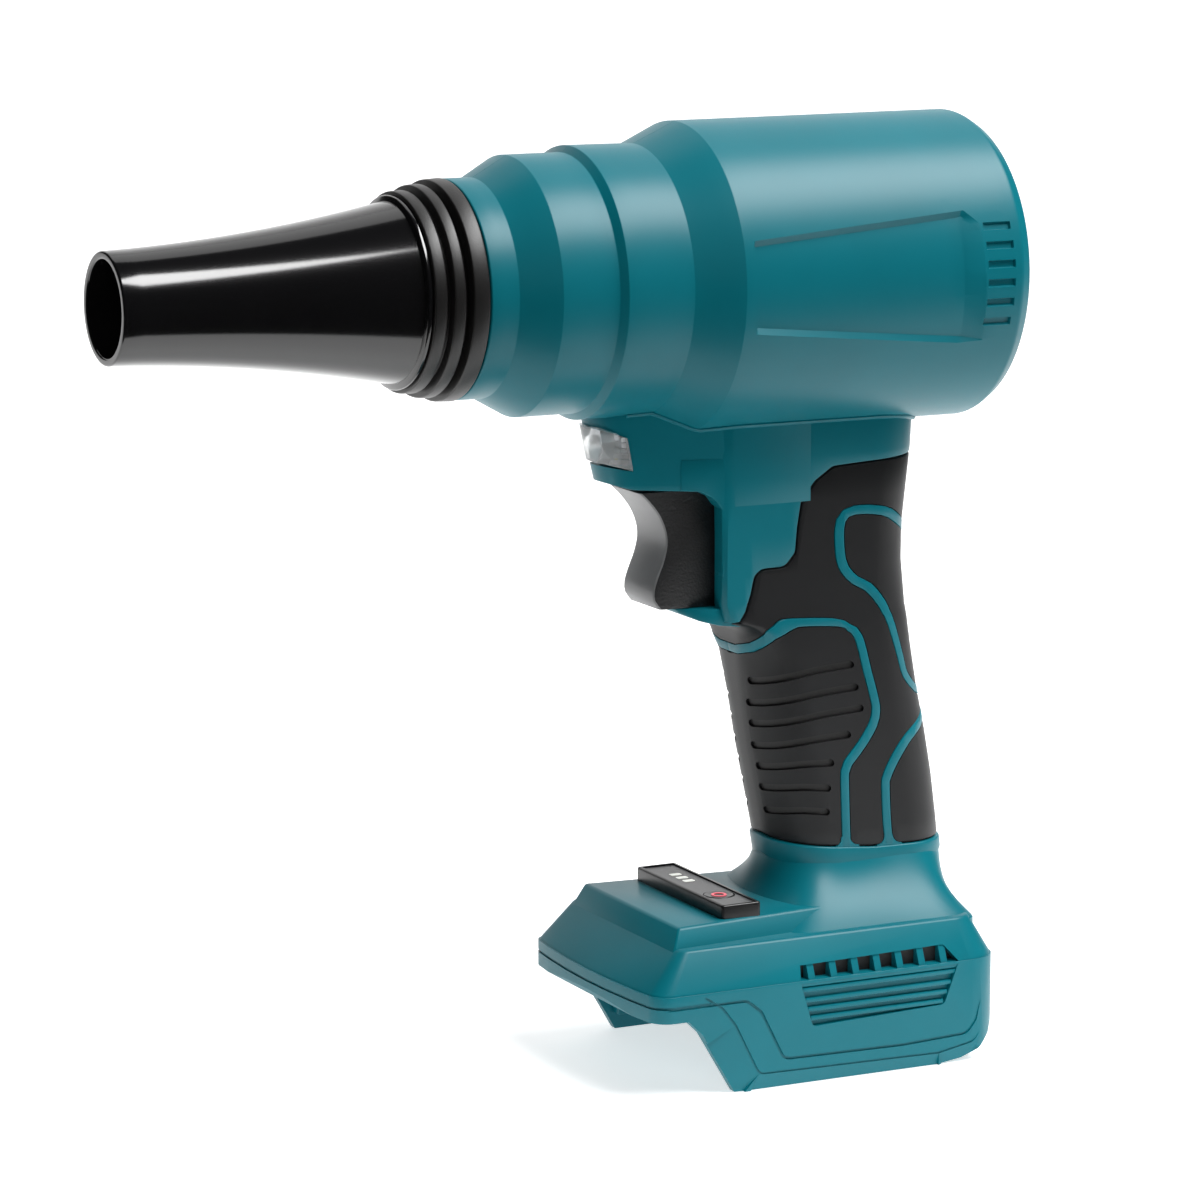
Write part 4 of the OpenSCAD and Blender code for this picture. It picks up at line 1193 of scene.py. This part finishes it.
        fronts = ((-30.0, 141.9), (-38.9, 142.5), (-48.0, 144.3), (-56.6, 146.4), (-64.0, 148.2))
        body = loft([plan(z, front) for z, front in fronts])
        ahead, clear = 130.0, 30.0
        under = side_slab([(ahead, -55.5), (146.0, -56.2), (152.2, -58.0), (171.7, -59.3), (175.4, -61.0),
                           (178.6, -65.0), (179.5, -70.0), (178.4, -80.0), (ahead, -80.0)], -clear, clear)
        nose = boolean(body, [under])
        soften(nose, 0.5, 2, 40)
        lamp_place = side_slab([(ahead, -39.6), (141.9, -40.2), (150.6, -43.1), (152.4, -52.7), (141.8, -51.0),
                                (ahead, -49.0)], -clear, clear)
        return boolean(nose, [lamp_place])

    def cheeks(self) -> list[BMesh]:
        """Rounded corners above and behind the trigger, one on each side of it."""
        outline = [(166.0, -50.0), (186.0, -50.0), (186.0, -84.0), (178.2, -84.0), (179.3, -69.0), (178.9, -66.2),
                   (177.4, -63.2), (174.8, -60.9), (171.7, -59.3), (166.0, -58.8)]
        pair = []
        for side in Side:
            cheek = on_side(outline, side, 9.95, 17.0)
            plan = [(152.0, -10.9), (182.0, -15.9), (190.0, -15.9), (190.0, 15.9), (182.0, 15.9), (152.0, 10.9)]
            cheek = boolean(cheek, [prism(plan, -100, -40)], "INTERSECT")
            soften(cheek, 0.4, 2, 60)
            pair.append(cheek)
        return pair

    def crease(self) -> list[BMesh]:
        """Fine beads where the neck's sides meet the barrel."""
        start, end, bead_r, proud = 150.0, 243.0, 0.85, 0.05
        barrel_radii = ((-150.0, 38.1), (-157.4, 38.0), (-170.4, 43.9), (-243.0, 44.0))
        neck_halves = ((-150.0, 10.6), (-182.0, self.neck_half), (-206.0, self.neck_half), (-230.0, 15.8),
                       (-238.0, 13.8), (-243.0, 9.0))
        beads = []
        for side in Side:
            path = []
            for x in (start, *spans(start, end, 2.4), end):
                radius, y = between(barrel_radii, -x)[0], between(neck_halves, -x)[0]
                path.append(Vector((x, side.value * (y + proud), -math.sqrt(radius ** 2 - y * y))))
            beads.append(tube(path, bead_r))
        return beads

    def hook(self) -> BMesh:
        """The teal guard under the trigger."""
        body = side_slab([(198, -93.2), (169.6, -93.2), (168.0, -93.8), (168.6, -94.8), (172.8, -96.7), (178.0, -98.1),
                          (184.0, -98.8), (198, -98.8)], -15.0, 15.0)
        plan = prism(rounded([(167.6, -13.2), (198.0, -15.2), (198.0, 15.2), (167.6, 13.2)], [11.5, 0, 0, 11.5], 8),
                     -110, -80)
        body = boolean(body, [plan], "INTERSECT")
        soften(body, 0.5, 2, 40)
        return body

    def build(self, shop: Workshop) -> None:
        """Builds the skin, stripes, neck, ring and guard."""
        form = self.form
        shop.piece("grip_skin", form.wrap(self.rubber()), [RUBBER], Body.HOUSING,
                   ["grip_left", "grip_right"], sharper_than=40)
        shop.shell("grip_stripes", form.wrap(self.teal_stripes()), 40)
        heights = (-174.0, *(row[0] for row in reversed(form.table[1:-1])), self.neck_top)
        core = loft([form.loop(z, -0.85) for z in heights])
        shop.piece("handle_core", core, [SEAL_RUBBER], Body.HOUSING, sharper_than=40)
        neck = [form.wrap(self.neck_skin()), self.nose(), self.hook(), *self.cheeks(), *self.crease()]
        shop.shell("neck_shell", joined(neck), 35)
        shop.shell("base_ring", form.wrap(self.base_ring()), 40)


# Trigger and lamp ----------------------------------------------------------


@dataclass
class Trigger:
    """The finger trigger with its smooth concave face."""

    half: float = 9.5
    top: float = -59.3
    low: float = -92.9
    rear: float = 181.0
    stem_end: float = 186.0
    stem_half: float = 6.0
    pocket_r: float = 4.6
    pocket_x: float = 178.6

    def front_line(self) -> list[Point]:
        """Concave front of the trigger from top to bottom."""
        return smooth_path([(154.9, self.top), (157.9, -62.2), (161.0, -66.2), (162.9, -70.6), (163.3, -74.6),
                            (162.3, -79.0), (160.6, -83.2), (159.3, -87.2), (159.5, -90.4), (161.4, self.low)], 1.4)

    def spring_pocket(self) -> BMesh:
        """Round pocket in the back of the trigger that lets the return spring in."""
        middle = (self.top + self.low) / 2
        rim = circle(self.pocket_r, 32)
        return hull([(x, y, middle + z) for x in (self.pocket_x, self.stem_end + 4) for y, z in rim])

    def build(self, shop: Workshop) -> None:
        """Builds the trigger and its stem."""
        outline = self.front_line() + [(self.rear, self.low), (self.rear, self.top)]
        bm = side_slab(outline, -self.half, self.half)
        soften(bm, 1.5, 3, 50, lambda e: all(v.co.x < self.rear - 1 for v in e.verts)
               and all(abs(abs(v.co.y) - self.half) < TOUCH for v in e.verts)
               and not all(v.co.z > self.top - TOUCH for v in e.verts))
        soften(bm, 0.6, 2, 50, lambda e: all(v.co.z < self.low + 1.6 or v.co.z > self.top - TOUCH for v in e.verts))
        bm = boolean(bm, [self.spring_pocket()])
        # Faces that point forward or down get the lighter grey. This is a painted reflection on the front face and a
        # painted highlight along the bottom edge.
        painted_sheen_facing = -0.3
        for face in bm.faces:
            face.material_index = 0 if min(face.normal.x, face.normal.z) < painted_sheen_facing else 1
        stem = box((self.rear - 1, -self.stem_half, self.low + 5), (self.stem_end, self.stem_half, self.top - 5))
        stem = boolean(stem, [self.spring_pocket()])
        for face in stem.faces:
            face.material_index = 1
        shop.piece("trigger_lever", joined([bm, stem]), [TRIGGER_FACE_PAINTED_SHEEN, TRIGGER_GRAIN], Body.TRIGGER,
                   ["trigger"], sharper_than=28)


@dataclass
class Lamp:
    """Clear lens wrapped round the nose, with a bright faceted bowl behind it."""

    centre_x: float = 153.0
    outer: float = 11.2
    shell: float = 1.5
    shear: float = 0.2
    cup_z: float = -46.0
    step_low: float = -50.6
    step: float = 1.55

    def lens(self) -> BMesh:
        """The clear cover, cut to its sloping outline."""
        def arc(r: float) -> list[Point]:
            """Half circle round the front of the nose."""
            return [(self.centre_x - r * math.cos(a), r * math.sin(a))
                    for a in (math.radians(-90 + 180 * k / 36) for k in range(37))]

        ring = prism(arc(self.outer) + arc(self.outer - self.shell)[::-1], -60, -30)
        frame_line = side_slab([(135, -39.8), (144.0, -40.4), (149.9, -43.3), (149.9, -52.5), (144.0, -50.9),
                                (135, -49.2)], -14, 14)
        lens = boolean(ring, [frame_line], "INTERSECT")
        soften(lens, 0.25, 2, 50)
        for v in lens.verts:
            v.co.x -= (v.co.z + 40.0) * self.shear
        return lens

    def bowl(self) -> BMesh:
        """The reflector: a faceted cup in a stepped bright wall."""
        cup = spun([(145.6, 4.6), (147.6, 3.3), (149.4, 1.9), (150.0, 1.9), (150.0, 5.1), (145.6, 5.1)], 14)
        bmesh.ops.translate(cup, verts=cup.verts, vec=(0, 0, self.cup_z))
        parts = [cup]
        for k in range(7):
            z = self.step_low + self.step * k
            parts.append(box((149.0 + 0.25 * (k % 2), -9.2, z), (151.6, 9.2, z + 1.3)))
        return joined(parts)

    def build(self, shop: Workshop) -> None:
        """Builds the lens and the bowl."""
        shop.piece("lamp_lens", self.lens(), [LENS], Body.HOUSING, ["led_lens"], sharper_than=35)
        shop.piece("lamp_bowl", self.bowl(), [REFLECTOR], Body.HOUSING, sharper_than=25)


# Power button --------------------------------------------------------------


@dataclass
class PowerButton:
    """Round power button with a ring symbol."""

    x: float = 178.7
    y: float = -13.0
    radius: float = 4.4
    top: float = -176.2

    def turned(self, profile: Sequence[Point], closed: bool = False) -> BMesh:
        """Spins a (radius, height) profile about the button's upright axis."""
        bm = revolved([Vector((r, 0, z)) for r, z in profile], (0, 0, 1), 48, closed)
        bmesh.ops.translate(bm, verts=bm.verts, vec=(self.x, self.y, self.top))
        return bm

    def hole(self, clearance: float, low: float, high: float) -> BMesh:
        """Makes a round cutter about the button's axis.

        Args:
            clearance: How much wider than the cap it is, on the radius.
            low: Its foot, above the cap's top.
            high: Its top, above the cap's top.

        Returns:
            The cutter.
        """
        rim = circle(self.radius + clearance, 40, self.x, self.y)
        return prism(rim, self.top + low, self.top + high)

    def build(self, shop: Workshop) -> None:
        """Builds the button's cap, stem and symbol."""
        r, cap_low, stem_r, stem_low = self.radius, -2.2, 1.6, -3.4
        cap = self.turned(rounded([(0, -0.35), (2.6, -0.25), (r, 0.0), (r, cap_low), (0, cap_low)],
                                  [0, 1.0, 0.4, 0.2, 0], 4, closed=False))
        ring = self.turned([(1.5, -0.25), (1.5, -0.08), (2.2, -0.06), (2.2, -0.25)], closed=True)
        stem = self.turned([(0, -2.0), (stem_r, -2.0), (stem_r, stem_low), (0, stem_low)])
        for face in ring.faces:
            face.material_index = 1
        shop.piece("button_cap", joined([cap, ring, stem]), [PANEL_BLACK, SYMBOL_RED], Body.BUTTON,
                   ["power_button"])


# Foot ----------------------------------------------------------------------


@dataclass
class Foot:
    """The battery foot: lower shell, band, deck, flare, vents and louvres."""

    half: float = 40.4
    front: float = 142.4
    end: float = 257.8
    ridge: float = -197.0
    roof: float = -204.6
    skirt: float = -227.0
    band_top: float = -185.5
    deck: float = -180.0
    bay_half: float = 36.4
    bay_end: float = 250.0
    bow: float = 274.0
    nose_line: float = -200.2
    recess_depth: float = 1.5
    vent_x: float = 193.6
    vent_pitch: float = 7.2
    vent_bar: float = 2.1
    vent_count: int = 7
    flare_top: float = -169.0
    flare_low: float = -187.0
    button: PowerButton = field(default_factory=PowerButton)

    def plan(self, inset: float = 0.0) -> list[Point]:
        """Makes the plan outline, with a bowed nose and rounded corners.

        Args:
            inset: How far inside the foot's own outline it lies.

        Returns:
            The outline.
        """
        half = self.half - inset

        def nose_x(y: float) -> float:
            """Station of the bowed front at a place across the tool."""
            return self.front + inset + self.bow - math.sqrt(self.bow ** 2 - y * y)

        end = self.end - inset
        corners = [(nose_x(-half), -half), (end, -half), (end, half), (nose_x(half), half)]
        corners += [(nose_x(y), y) for y in (half * 0.66, half * 0.33, 0.0, -half * 0.33, -half * 0.66)]
        return rounded(corners, [6.0, 11.0, 11.0, 6.0, 0, 0, 0, 0, 0], steps=7)

    def lower(self) -> BMesh:
        """Nose, skirts and rear wall round the open battery bay."""
        body = prism(self.plan(), self.skirt - 1, self.ridge)
        front, skirt, roof, ridge = self.front, self.skirt, self.roof, self.ridge
        profile = [(front - 3, ridge + 2), (front - 3, ridge - 1.5), (front + 1.4, roof), (front + 12.6, roof),
                   (front + 17.0, roof - 4.2), (front + 27.8, skirt), (236.0, skirt), (244.0, skirt + 1.0),
                   (249.6, skirt + 3.2), (254.2, skirt + 7.4), (256.4, skirt + 12.0), (257.0, ridge - 8),
                   (259.0, ridge - 1.0), (259.0, ridge + 2)]
        body = boolean(body, [side_slab(profile, -60, 60)], "INTERSECT")
        soften(body, 0.7, 3, 35)
        body = boolean(body, self.flange_cuts())
        beyond = self.half + 3
        recess = rounded([(190.7, -197.8), (194.6, -210.6), (237.6, -209.2), (242.0, -197.8)],
                         [0, 1.6, 1.6, 0], 4)
        cutters = [box((front - 5, -self.bay_half, skirt - 5), (self.bay_end, self.bay_half, roof))]
        for side in Side:
            for path, width, depth in self.side_lines():
                cutters.append(on_side(band(path, width), side, self.half - depth, beyond))
            cutters.append(on_side(recess, side, self.half - self.recess_depth, beyond))
        cutters.append(self.nose_groove())
        return boolean(body, cutters)

    def flange_cuts(self) -> list[BMesh]:
        """Wedges that thin the skirts towards their free edges."""
        runs = [(((169.8, -207.2), (177.4, -222.3)), ((158.0, -213.0), (168.0, -232.0))),
                (((177.4, -222.3), (236.0, -223.3)), ((172.0, -232.0), (236.0, -232.0))),
                (((236.0, -223.3), (247.6, -221.2), (253.6, -213.0), (254.6, -204.0)),
                 ((238.0, -232.0), (254.0, -230.0), (264.0, -218.0), (264.0, -204.0)))]
        thinned, beyond = 2.2, 48.0
        wedges = []
        for side in Side:
            for inner, outer in runs:
                for k in range(len(inner) - 1):
                    reaches = [(p, self.half + 0.02) for p in inner[k:k + 2]]
                    reaches += [(p, self.half - thinned) for p in outer[k:k + 2]]
                    wedges.append(hull([(x, side.value * y, z) for (x, z), reach in reaches
                                        for y in (reach, beyond)]))
        return wedges

    def side_lines(self) -> list[tuple[list[Point], float, float]]:
        """Draws the grooves on each side: the panel's outline and the step of the flared lip.

        Returns:
            The middle line, the width and the depth of each groove.
        """
        panel = rounded([(148.0, -200.6), (173.4, -200.6), (178.0, -204.3), (185.4, -218.9), (224.0, -219.5),
                         (245.2, -218.6), (248.2, -215.0), (251.8, -200.0)], [0, 2.5, 3, 3, 3, 3.5, 3, 0], 5,
                        closed=False)
        lip = rounded([(160.2, -198.2), (165.6, -201.8), (169.8, -207.2), (177.4, -222.3), (236.0, -223.3),
                       (247.6, -221.2), (253.6, -213.0), (254.6, -204.0)], [0, 3, 3, 3, 3, 4, 4, 0], 5, closed=False)
        return [(panel, 0.8, 0.55), (lip, 0.6, 0.4)]

    def nose_groove(self) -> BMesh:
        """Cutter for the thin groove round the nose."""
        z, half, depth = self.nose_line, 0.4, 0.55
        ring = prism(self.plan(-2.0), z - half, z + half)
        core = prism(self.plan(depth), z - 2, z + 2)
        keep = box((self.front - 10, -60, z - 3), (162.0, 60, z + 3))
        return boolean(boolean(ring, [core]), [keep], "INTERSECT")

    def upper(self) -> BMesh:
        """Sloping band with the vent windows cut in it, and the deck."""
        ridge = [(x, y, z) for z in (self.ridge, self.ridge - 2) for x, y in self.plan(0.25)]
        half = 35.0
        top = rounded([(155.0, -half), (251.0, -half), (251.0, half), (155.0, half)], [3, 7, 7, 3], 6)
        low = hull(ridge + [(x, y, self.band_top) for x, y in top])
        soften(low, 0.8, 3, 25)
        foot_z = self.band_top - 3
        corners = ((153.2, 33.4, foot_z), (199.0, 27.0, foot_z), (234.0, 27.0, foot_z), (157.0, 30.0, self.deck),
                   (196.0, 22.5, self.deck), (232.0, 22.5, self.deck))
        deck = hull([(x, sign * y, z) for x, y, z in corners for sign in (-1, 1)])
        soften(deck, 0.9, 3, 20)
        window = [(190.7, -197.4), (191.4, -192.9), (238.4, -192.1), (242.8, -197.4)]
        low = boolean(low, [on_side(window, side, 34.0, 45.0) for side in Side])
        well = self.button.hole(0.6, -4.4, 4.0)
        return joined([low, boolean(deck, [well]), *self.vent_bars()])

    def vent_bars(self) -> list[BMesh]:
        """Upright bars across the vent windows."""
        section = ((35.0, -197.4), (39.75, -197.4), (37.5, -191.9), (35.0, -191.9))
        bars = []
        for side in Side:
            for k in range(self.vent_count):
                left = self.vent_x + self.vent_pitch * k
                bars.append(hull([(x, side.value * y, z) for x in (left, left + self.vent_bar)
                                  for y, z in section]))
        return bars

    @staticmethod
    def reached(outline: Sequence[Point], middle: Vector, direction: Vector) -> Vector:
        """Finds where a ray from inside an outline meets it.

        Args:
            outline: The outline.
            middle: Where the ray starts.
            direction: The ray's unit direction.

        Returns:
            The nearest place on the outline along the ray.
        """
        best, tiny = math.inf, 1e-9
        for i, corner in enumerate(outline):
            a, b = Vector(corner) - middle, Vector(outline[(i + 1) % len(outline)]) - middle
            edge = b - a
            cross = direction.x * edge.y - direction.y * edge.x
            if abs(cross) < tiny:
                continue
            t = (a.x * edge.y - a.y * edge.x) / cross
            u = (a.x * direction.y - a.y * direction.x) / cross
            if t > 0 and -1e-6 <= u <= 1 + 1e-6:
                best = min(best, t)
        return middle + direction * best

    def flare(self, form: HandleForm) -> BMesh:
        """Lofts the soft flare from the handle's base ring out to the band.

        Args:
            form: The handle's surface, where the flare starts.

        Returns:
            The closed solid.
        """
        half, count, steep_end = 34.6, 10, 32.0
        outline = rounded([(190.0, -half), (254.1, -half), (254.1, half), (190.0, half)], [6, 9, 9, 6], 8)
        middle = Vector((224.0, 0.0))
        top = form.loop(self.flare_top, 0.25)
        base = [self.reached(outline, middle, (Vector((p.x, p.y)) - middle).normalized()) for p in top]
        loops = []
        for k in range(count + 1):
            t = k / count
            z = self.flare_top + (self.flare_low - self.flare_top) * t
            hollow, straight = 0.3 * t + 0.7 * t ** 2, 0.95 * t + 0.05 * t ** 2
            ring = []
            for p, q in zip(top, base):
                behind = max(0.0, (p.x - middle.x) / steep_end)
                mix = hollow + (straight - hollow) * behind
                ring.append(Vector((p.x + (q.x - p.x) * mix, p.y + (q.y - p.y) * mix, z)))
            loops.append(ring)
        loops.append([Vector((q.x, q.y, self.flare_low - 3)) for q in base])
        return loft(loops)

    def louvres(self) -> BMesh:
        """Four ribs in each louvre recess, shorter towards the foot."""
        root, face = self.half - self.recess_depth - 0.2, self.half - 0.3
        ribs = []
        for side in Side:
            for k, z in enumerate((-199.9, -203.0, -205.7, -208.4)):
                rib = side_box(side, (191.4 + k * 0.9, root, z - 0.55), (241.4 - k * 1.3, face, z + 0.75))
                soften(rib, 0.25, 2, 40)
                ribs.append(rib)
        return joined(ribs)

    def rails(self) -> BMesh:
        """Two inward rails that hold a battery."""
        width, root = 3.8, 0.5
        rails = []
        for side in Side:
            rail = side_box(side, (169.5, self.bay_half - width, self.skirt + 5),
                            (self.bay_end + root, self.bay_half + root, self.skirt + 9))
            soften(rail, 0.5, 2, 40)
            rails.append(rail)
        return joined(rails)

    def build(self, shop: Workshop, form: HandleForm) -> None:
        """Builds every part of the foot."""
        shop.shell("foot_lower", self.lower(), 25)
        shop.shell("foot_upper", self.upper(), 25)
        shop.shell("foot_flare", self.flare(form), 50)
        shop.shell("foot_louvres", self.louvres(), 40)
        shop.shell("battery_rails", self.rails(), 40)
        # A dark box just behind the vent windows is painted shade. It stands in for the shadow inside the foot.
        vent_shade = box((190.0, -36.2, -197.3), (243.0, 36.2, -191.9))
        shop.piece("vent_painted_shade", vent_shade, [SEAL_RUBBER], Body.HOUSING)


@dataclass
class Panel:
    """Control panel on the deck: frame, film and gauge lights."""

    deck: float
    button: PowerButton
    length: float = 12.6
    half: float = 26.9
    height: float = 4.0
    border: float = 1.1
    film_depth: float = 0.42
    bar_places: tuple[float, ...] = (5.8, 10.0, 14.2)

    def plate(self, x: float, y: float, halves: Point, radius: float, low: float, high: float,
              steps: int = 5) -> BMesh:
        """Makes an upright plate with rounded corners.

        Args:
            x: Station of its middle.
            y: Place of its middle across the tool.
            halves: Half of its size along and across the tool.
            radius: Radius of its corners.
            low: Height of its underside.
            high: Height of its top.
            steps: How many steps a rounded corner has.

        Returns:
            The plate.
        """
        a, b = halves
        outline = [(x - a, y - b), (x + a, y - b), (x + a, y + b), (x - a, y + b)]
        return prism(rounded(outline, [radius] * 4, steps), low, high)

    def slab(self, inset: float, low: float, high: float, radius: float) -> BMesh:
        """Plate of the panel's outline, drawn in by a length."""
        return self.plate(self.button.x, 0.0, (self.length / 2 - inset, self.half - inset), radius, low, high)

    def build(self, shop: Workshop) -> None:
        """Builds the panel's pieces."""
        top = self.deck + self.height
        frame_solid = self.slab(0.0, self.deck - 0.5, top, 1.0)
        soften(frame_solid, 0.6, 3, 40, lambda e: all(v.co.z > top - TOUCH for v in e.verts))
        frame_solid = boolean(frame_solid, [self.slab(self.border, top - 0.5, top + 2, 0.6)])
        frame_solid = boolean(frame_solid, [self.button.hole(0.2, -5.8, 2.2)])
        shop.piece("panel_frame", frame_solid, [PANEL_BLACK], Body.HOUSING, ["panel_bezel"])
        film = self.slab(self.border + 0.1, top - 1.2, top - self.film_depth, 0.5)
        film = boolean(film, [self.button.hole(0.2, -5.8, 2.2)])
        shop.piece("panel_film", film, [PANEL_FILM], Body.HOUSING, ["panel_face"])
        bars = [self.plate(self.button.x, y, (1.7, 1.1), 0.5, top - 1.4, top - 0.3, steps=3)
                for y in self.bar_places]
        shop.piece("gauge_bars", joined(bars), [GAUGE_WHITE], Body.HOUSING, ["gauge_lights"])


# Studio --------------------------------------------------------------------


@dataclass
class Studio:
    """Floor, backdrop, soft lights and the camera, in metres and degrees."""

    target: Place = (0.1472, 0.0, -0.0904)
    azimuth: float = -26.36
    elevation: float = 10.28
    distance: float = 1.365
    lens: float = 145.1
    floor_z: float = -0.2272
    aim: Place = (0.15, 0.0, -0.05)
    white_seen: float = 1.1
    ambient: float = 0.012

    def backdrop(self) -> None:
        """Makes a pale floor that curves up into a wall behind the tool."""
        bm = bmesh.new()
        near, wall, height, left, width = -0.2, 2.4, 2.6, -2.0, 3.2
        profile = rounded([(near, 0.0), (wall, 0.0), (wall, height)], [0, 1.0, 0], steps=16, closed=False)
        edges = loop_edges(bm, [Vector((left, y, z + self.floor_z)) for y, z in profile], closed=False)
        made = bmesh.ops.extrude_edge_only(bm, edges=edges)
        moved = [v for v in made["geom"] if isinstance(v, BMVert)]
        bmesh.ops.translate(bm, verts=moved, vec=(width, 0, 0))
        bmesh.ops.rotate(bm, cent=(self.aim[0], 0, 0), verts=bm.verts,
                         matrix=Matrix.Rotation(math.radians(self.azimuth), 3, "Z"))
        mesh = bpy.data.meshes.new("studio_floor")
        bm.to_mesh(mesh)
        bm.free()
        for poly in mesh.polygons:
            poly.use_smooth = True
        floor = bpy.data.objects.new("studio_floor", mesh)
        bpy.context.scene.collection.objects.link(floor)
        mesh.materials.append(STUDIO_WHITE.material())

    def camera(self) -> None:
        """Sets the camera at the tool's three-quarter view from the front left."""
        az, el = math.radians(self.azimuth), math.radians(self.elevation)
        back = Vector((math.sin(az) * math.cos(el), -math.cos(az) * math.cos(el), math.sin(el)))
        data = bpy.data.cameras.new("camera")
        data.lens, data.sensor_width = self.lens, 36.0
        data.clip_end = 50.0
        cam = bpy.data.objects.new("camera", data)
        cam.location = Vector(self.target) + back * self.distance
        cam.rotation_euler = back.to_track_quat("Z", "Y").to_euler()
        bpy.context.scene.collection.objects.link(cam)
        bpy.context.scene.camera = cam

    def soft_light(self, name: str, place: Place, size: Point, power: float,
                   mirrored_too: bool = True) -> None:
        """Adds a rectangular soft light that faces the tool.

        Args:
            name: Name of the light.
            place: Where it hangs, in metres.
            size: Its width and height.
            power: Its power in watts.
            mirrored_too: Whether glossy surfaces mirror it.
        """
        data = bpy.data.lights.new(name, "AREA")
        data.shape = "RECTANGLE"
        data.size, data.size_y = size
        data.energy = power
        lamp = bpy.data.objects.new(name, data)
        lamp.location = place
        lamp.visible_glossy = mirrored_too
        back = Vector(place) - Vector(self.aim)
        lamp.rotation_euler = back.to_track_quat("Z", "Y").to_euler()
        bpy.context.scene.collection.objects.link(lamp)

    def world(self) -> None:
        """Makes a surround that looks white but gives hardly any light."""
        world = bpy.data.worlds.new("studio_world")
        world.use_nodes = True
        nodes, links = world.node_tree.nodes, world.node_tree.links
        surround = nodes["Background"]
        surround.inputs["Color"].default_value = (1.0, 1.0, 1.0, 1.0)
        seen = nodes.new("ShaderNodeLightPath")
        strength = nodes.new("ShaderNodeMath")
        strength.operation = "MULTIPLY_ADD"
        strength.inputs[1].default_value = self.white_seen
        strength.inputs[2].default_value = self.ambient
        links.new(seen.outputs["Is Camera Ray"], strength.inputs[0])
        links.new(strength.outputs["Value"], surround.inputs["Strength"])
        bpy.context.scene.world = world

    def build(self) -> None:
        """Sets up the whole studio."""
        self.backdrop()
        self.camera()
        self.world()
        bpy.context.scene.view_settings.view_transform = "Standard"
        self.soft_light("key_light", (0.85, -0.55, 1.35), (1.4, 0.7), 46.0)
        self.soft_light("fill_light", (-0.9, -1.7, 0.6), (1.6, 1.0), 10.0, mirrored_too=False)
        self.soft_light("wall_light", (0.4, 0.9, 1.5), (2.0, 0.8), 5.0)


# Assembly ------------------------------------------------------------------

CAD_FINISHES: dict[str, Finish] = {
    "housing_screws": STEEL, "nozzle_seal": SEAL_RUBBER, "fan_duct": INNER_GREY, "duct_seals": SEAL_RUBBER,
    "rear_grille": GRILLE_BLACK, "intake_screen": SCREEN_STEEL, "tail_cone": INNER_GREY, "motor_can": STEEL,
    "motor_front_cap": ALUMINIUM, "motor_rear_cap": ALUMINIUM, "stator_core": STEEL, "stator_coils": COPPER,
    "front_bearing": BRIGHT_STEEL, "rear_bearing": BRIGHT_STEEL, "rotor_core": STEEL, "rotor_shaft": BRIGHT_STEEL,
    "impeller": INNER_GREY, "spinner": INNER_GREY, "switch_plunger": WHITE_PLASTIC, "trigger_spring": BRIGHT_STEEL,
    "switch_body": INNER_GREY, "led_board": WHITE_PLASTIC, "led_lamp": PHOSPHOR, "button_dome": BRASS,
    "panel_board": BOARD_GREEN, "control_board": BOARD_GREEN, "capacitors": SLEEVE_BLUE, "heat_sink": ALUMINIUM,
    "terminal_block": INNER_GREY, "terminal_blades": BRASS, "motor_plug": WHITE_PLASTIC, "motor_leads": LEAD_RED,
    "battery_leads": LEAD_BLACK,
}


def dress(nodes: dict[str, bpy.types.Object], finishes: dict[str, Finish]) -> None:
    """Gives the CAD nodes that still show their finishes.

    Args:
        nodes: The frame's objects by node name.
        finishes: A finish for each node name.
    """
    for name, finish in finishes.items():
        obj = nodes[name]
        obj.data.materials.clear()
        obj.data.materials.append(finish.material())
        LOG.info("%s: %s", name, finish.name)


def main() -> None:
    """Builds the tool in order."""
    logging.basicConfig(level=logging.INFO, format="%(name)s %(message)s")
    Studio().build()
    shop = Workshop()
    Nozzle().build(shop)
    Barrel().build(shop)
    handle = Handle()
    handle.build(shop)
    Trigger().build(shop)
    Lamp().build(shop)
    foot = Foot()
    foot.build(shop, handle.form)
    Panel(foot.deck, foot.button).build(shop)
    foot.button.build(shop)
    dress(frame["nodes"], CAD_FINISHES)
    LOG.info("%d new pieces", shop.made)


if __name__ == "__main__":
    main()
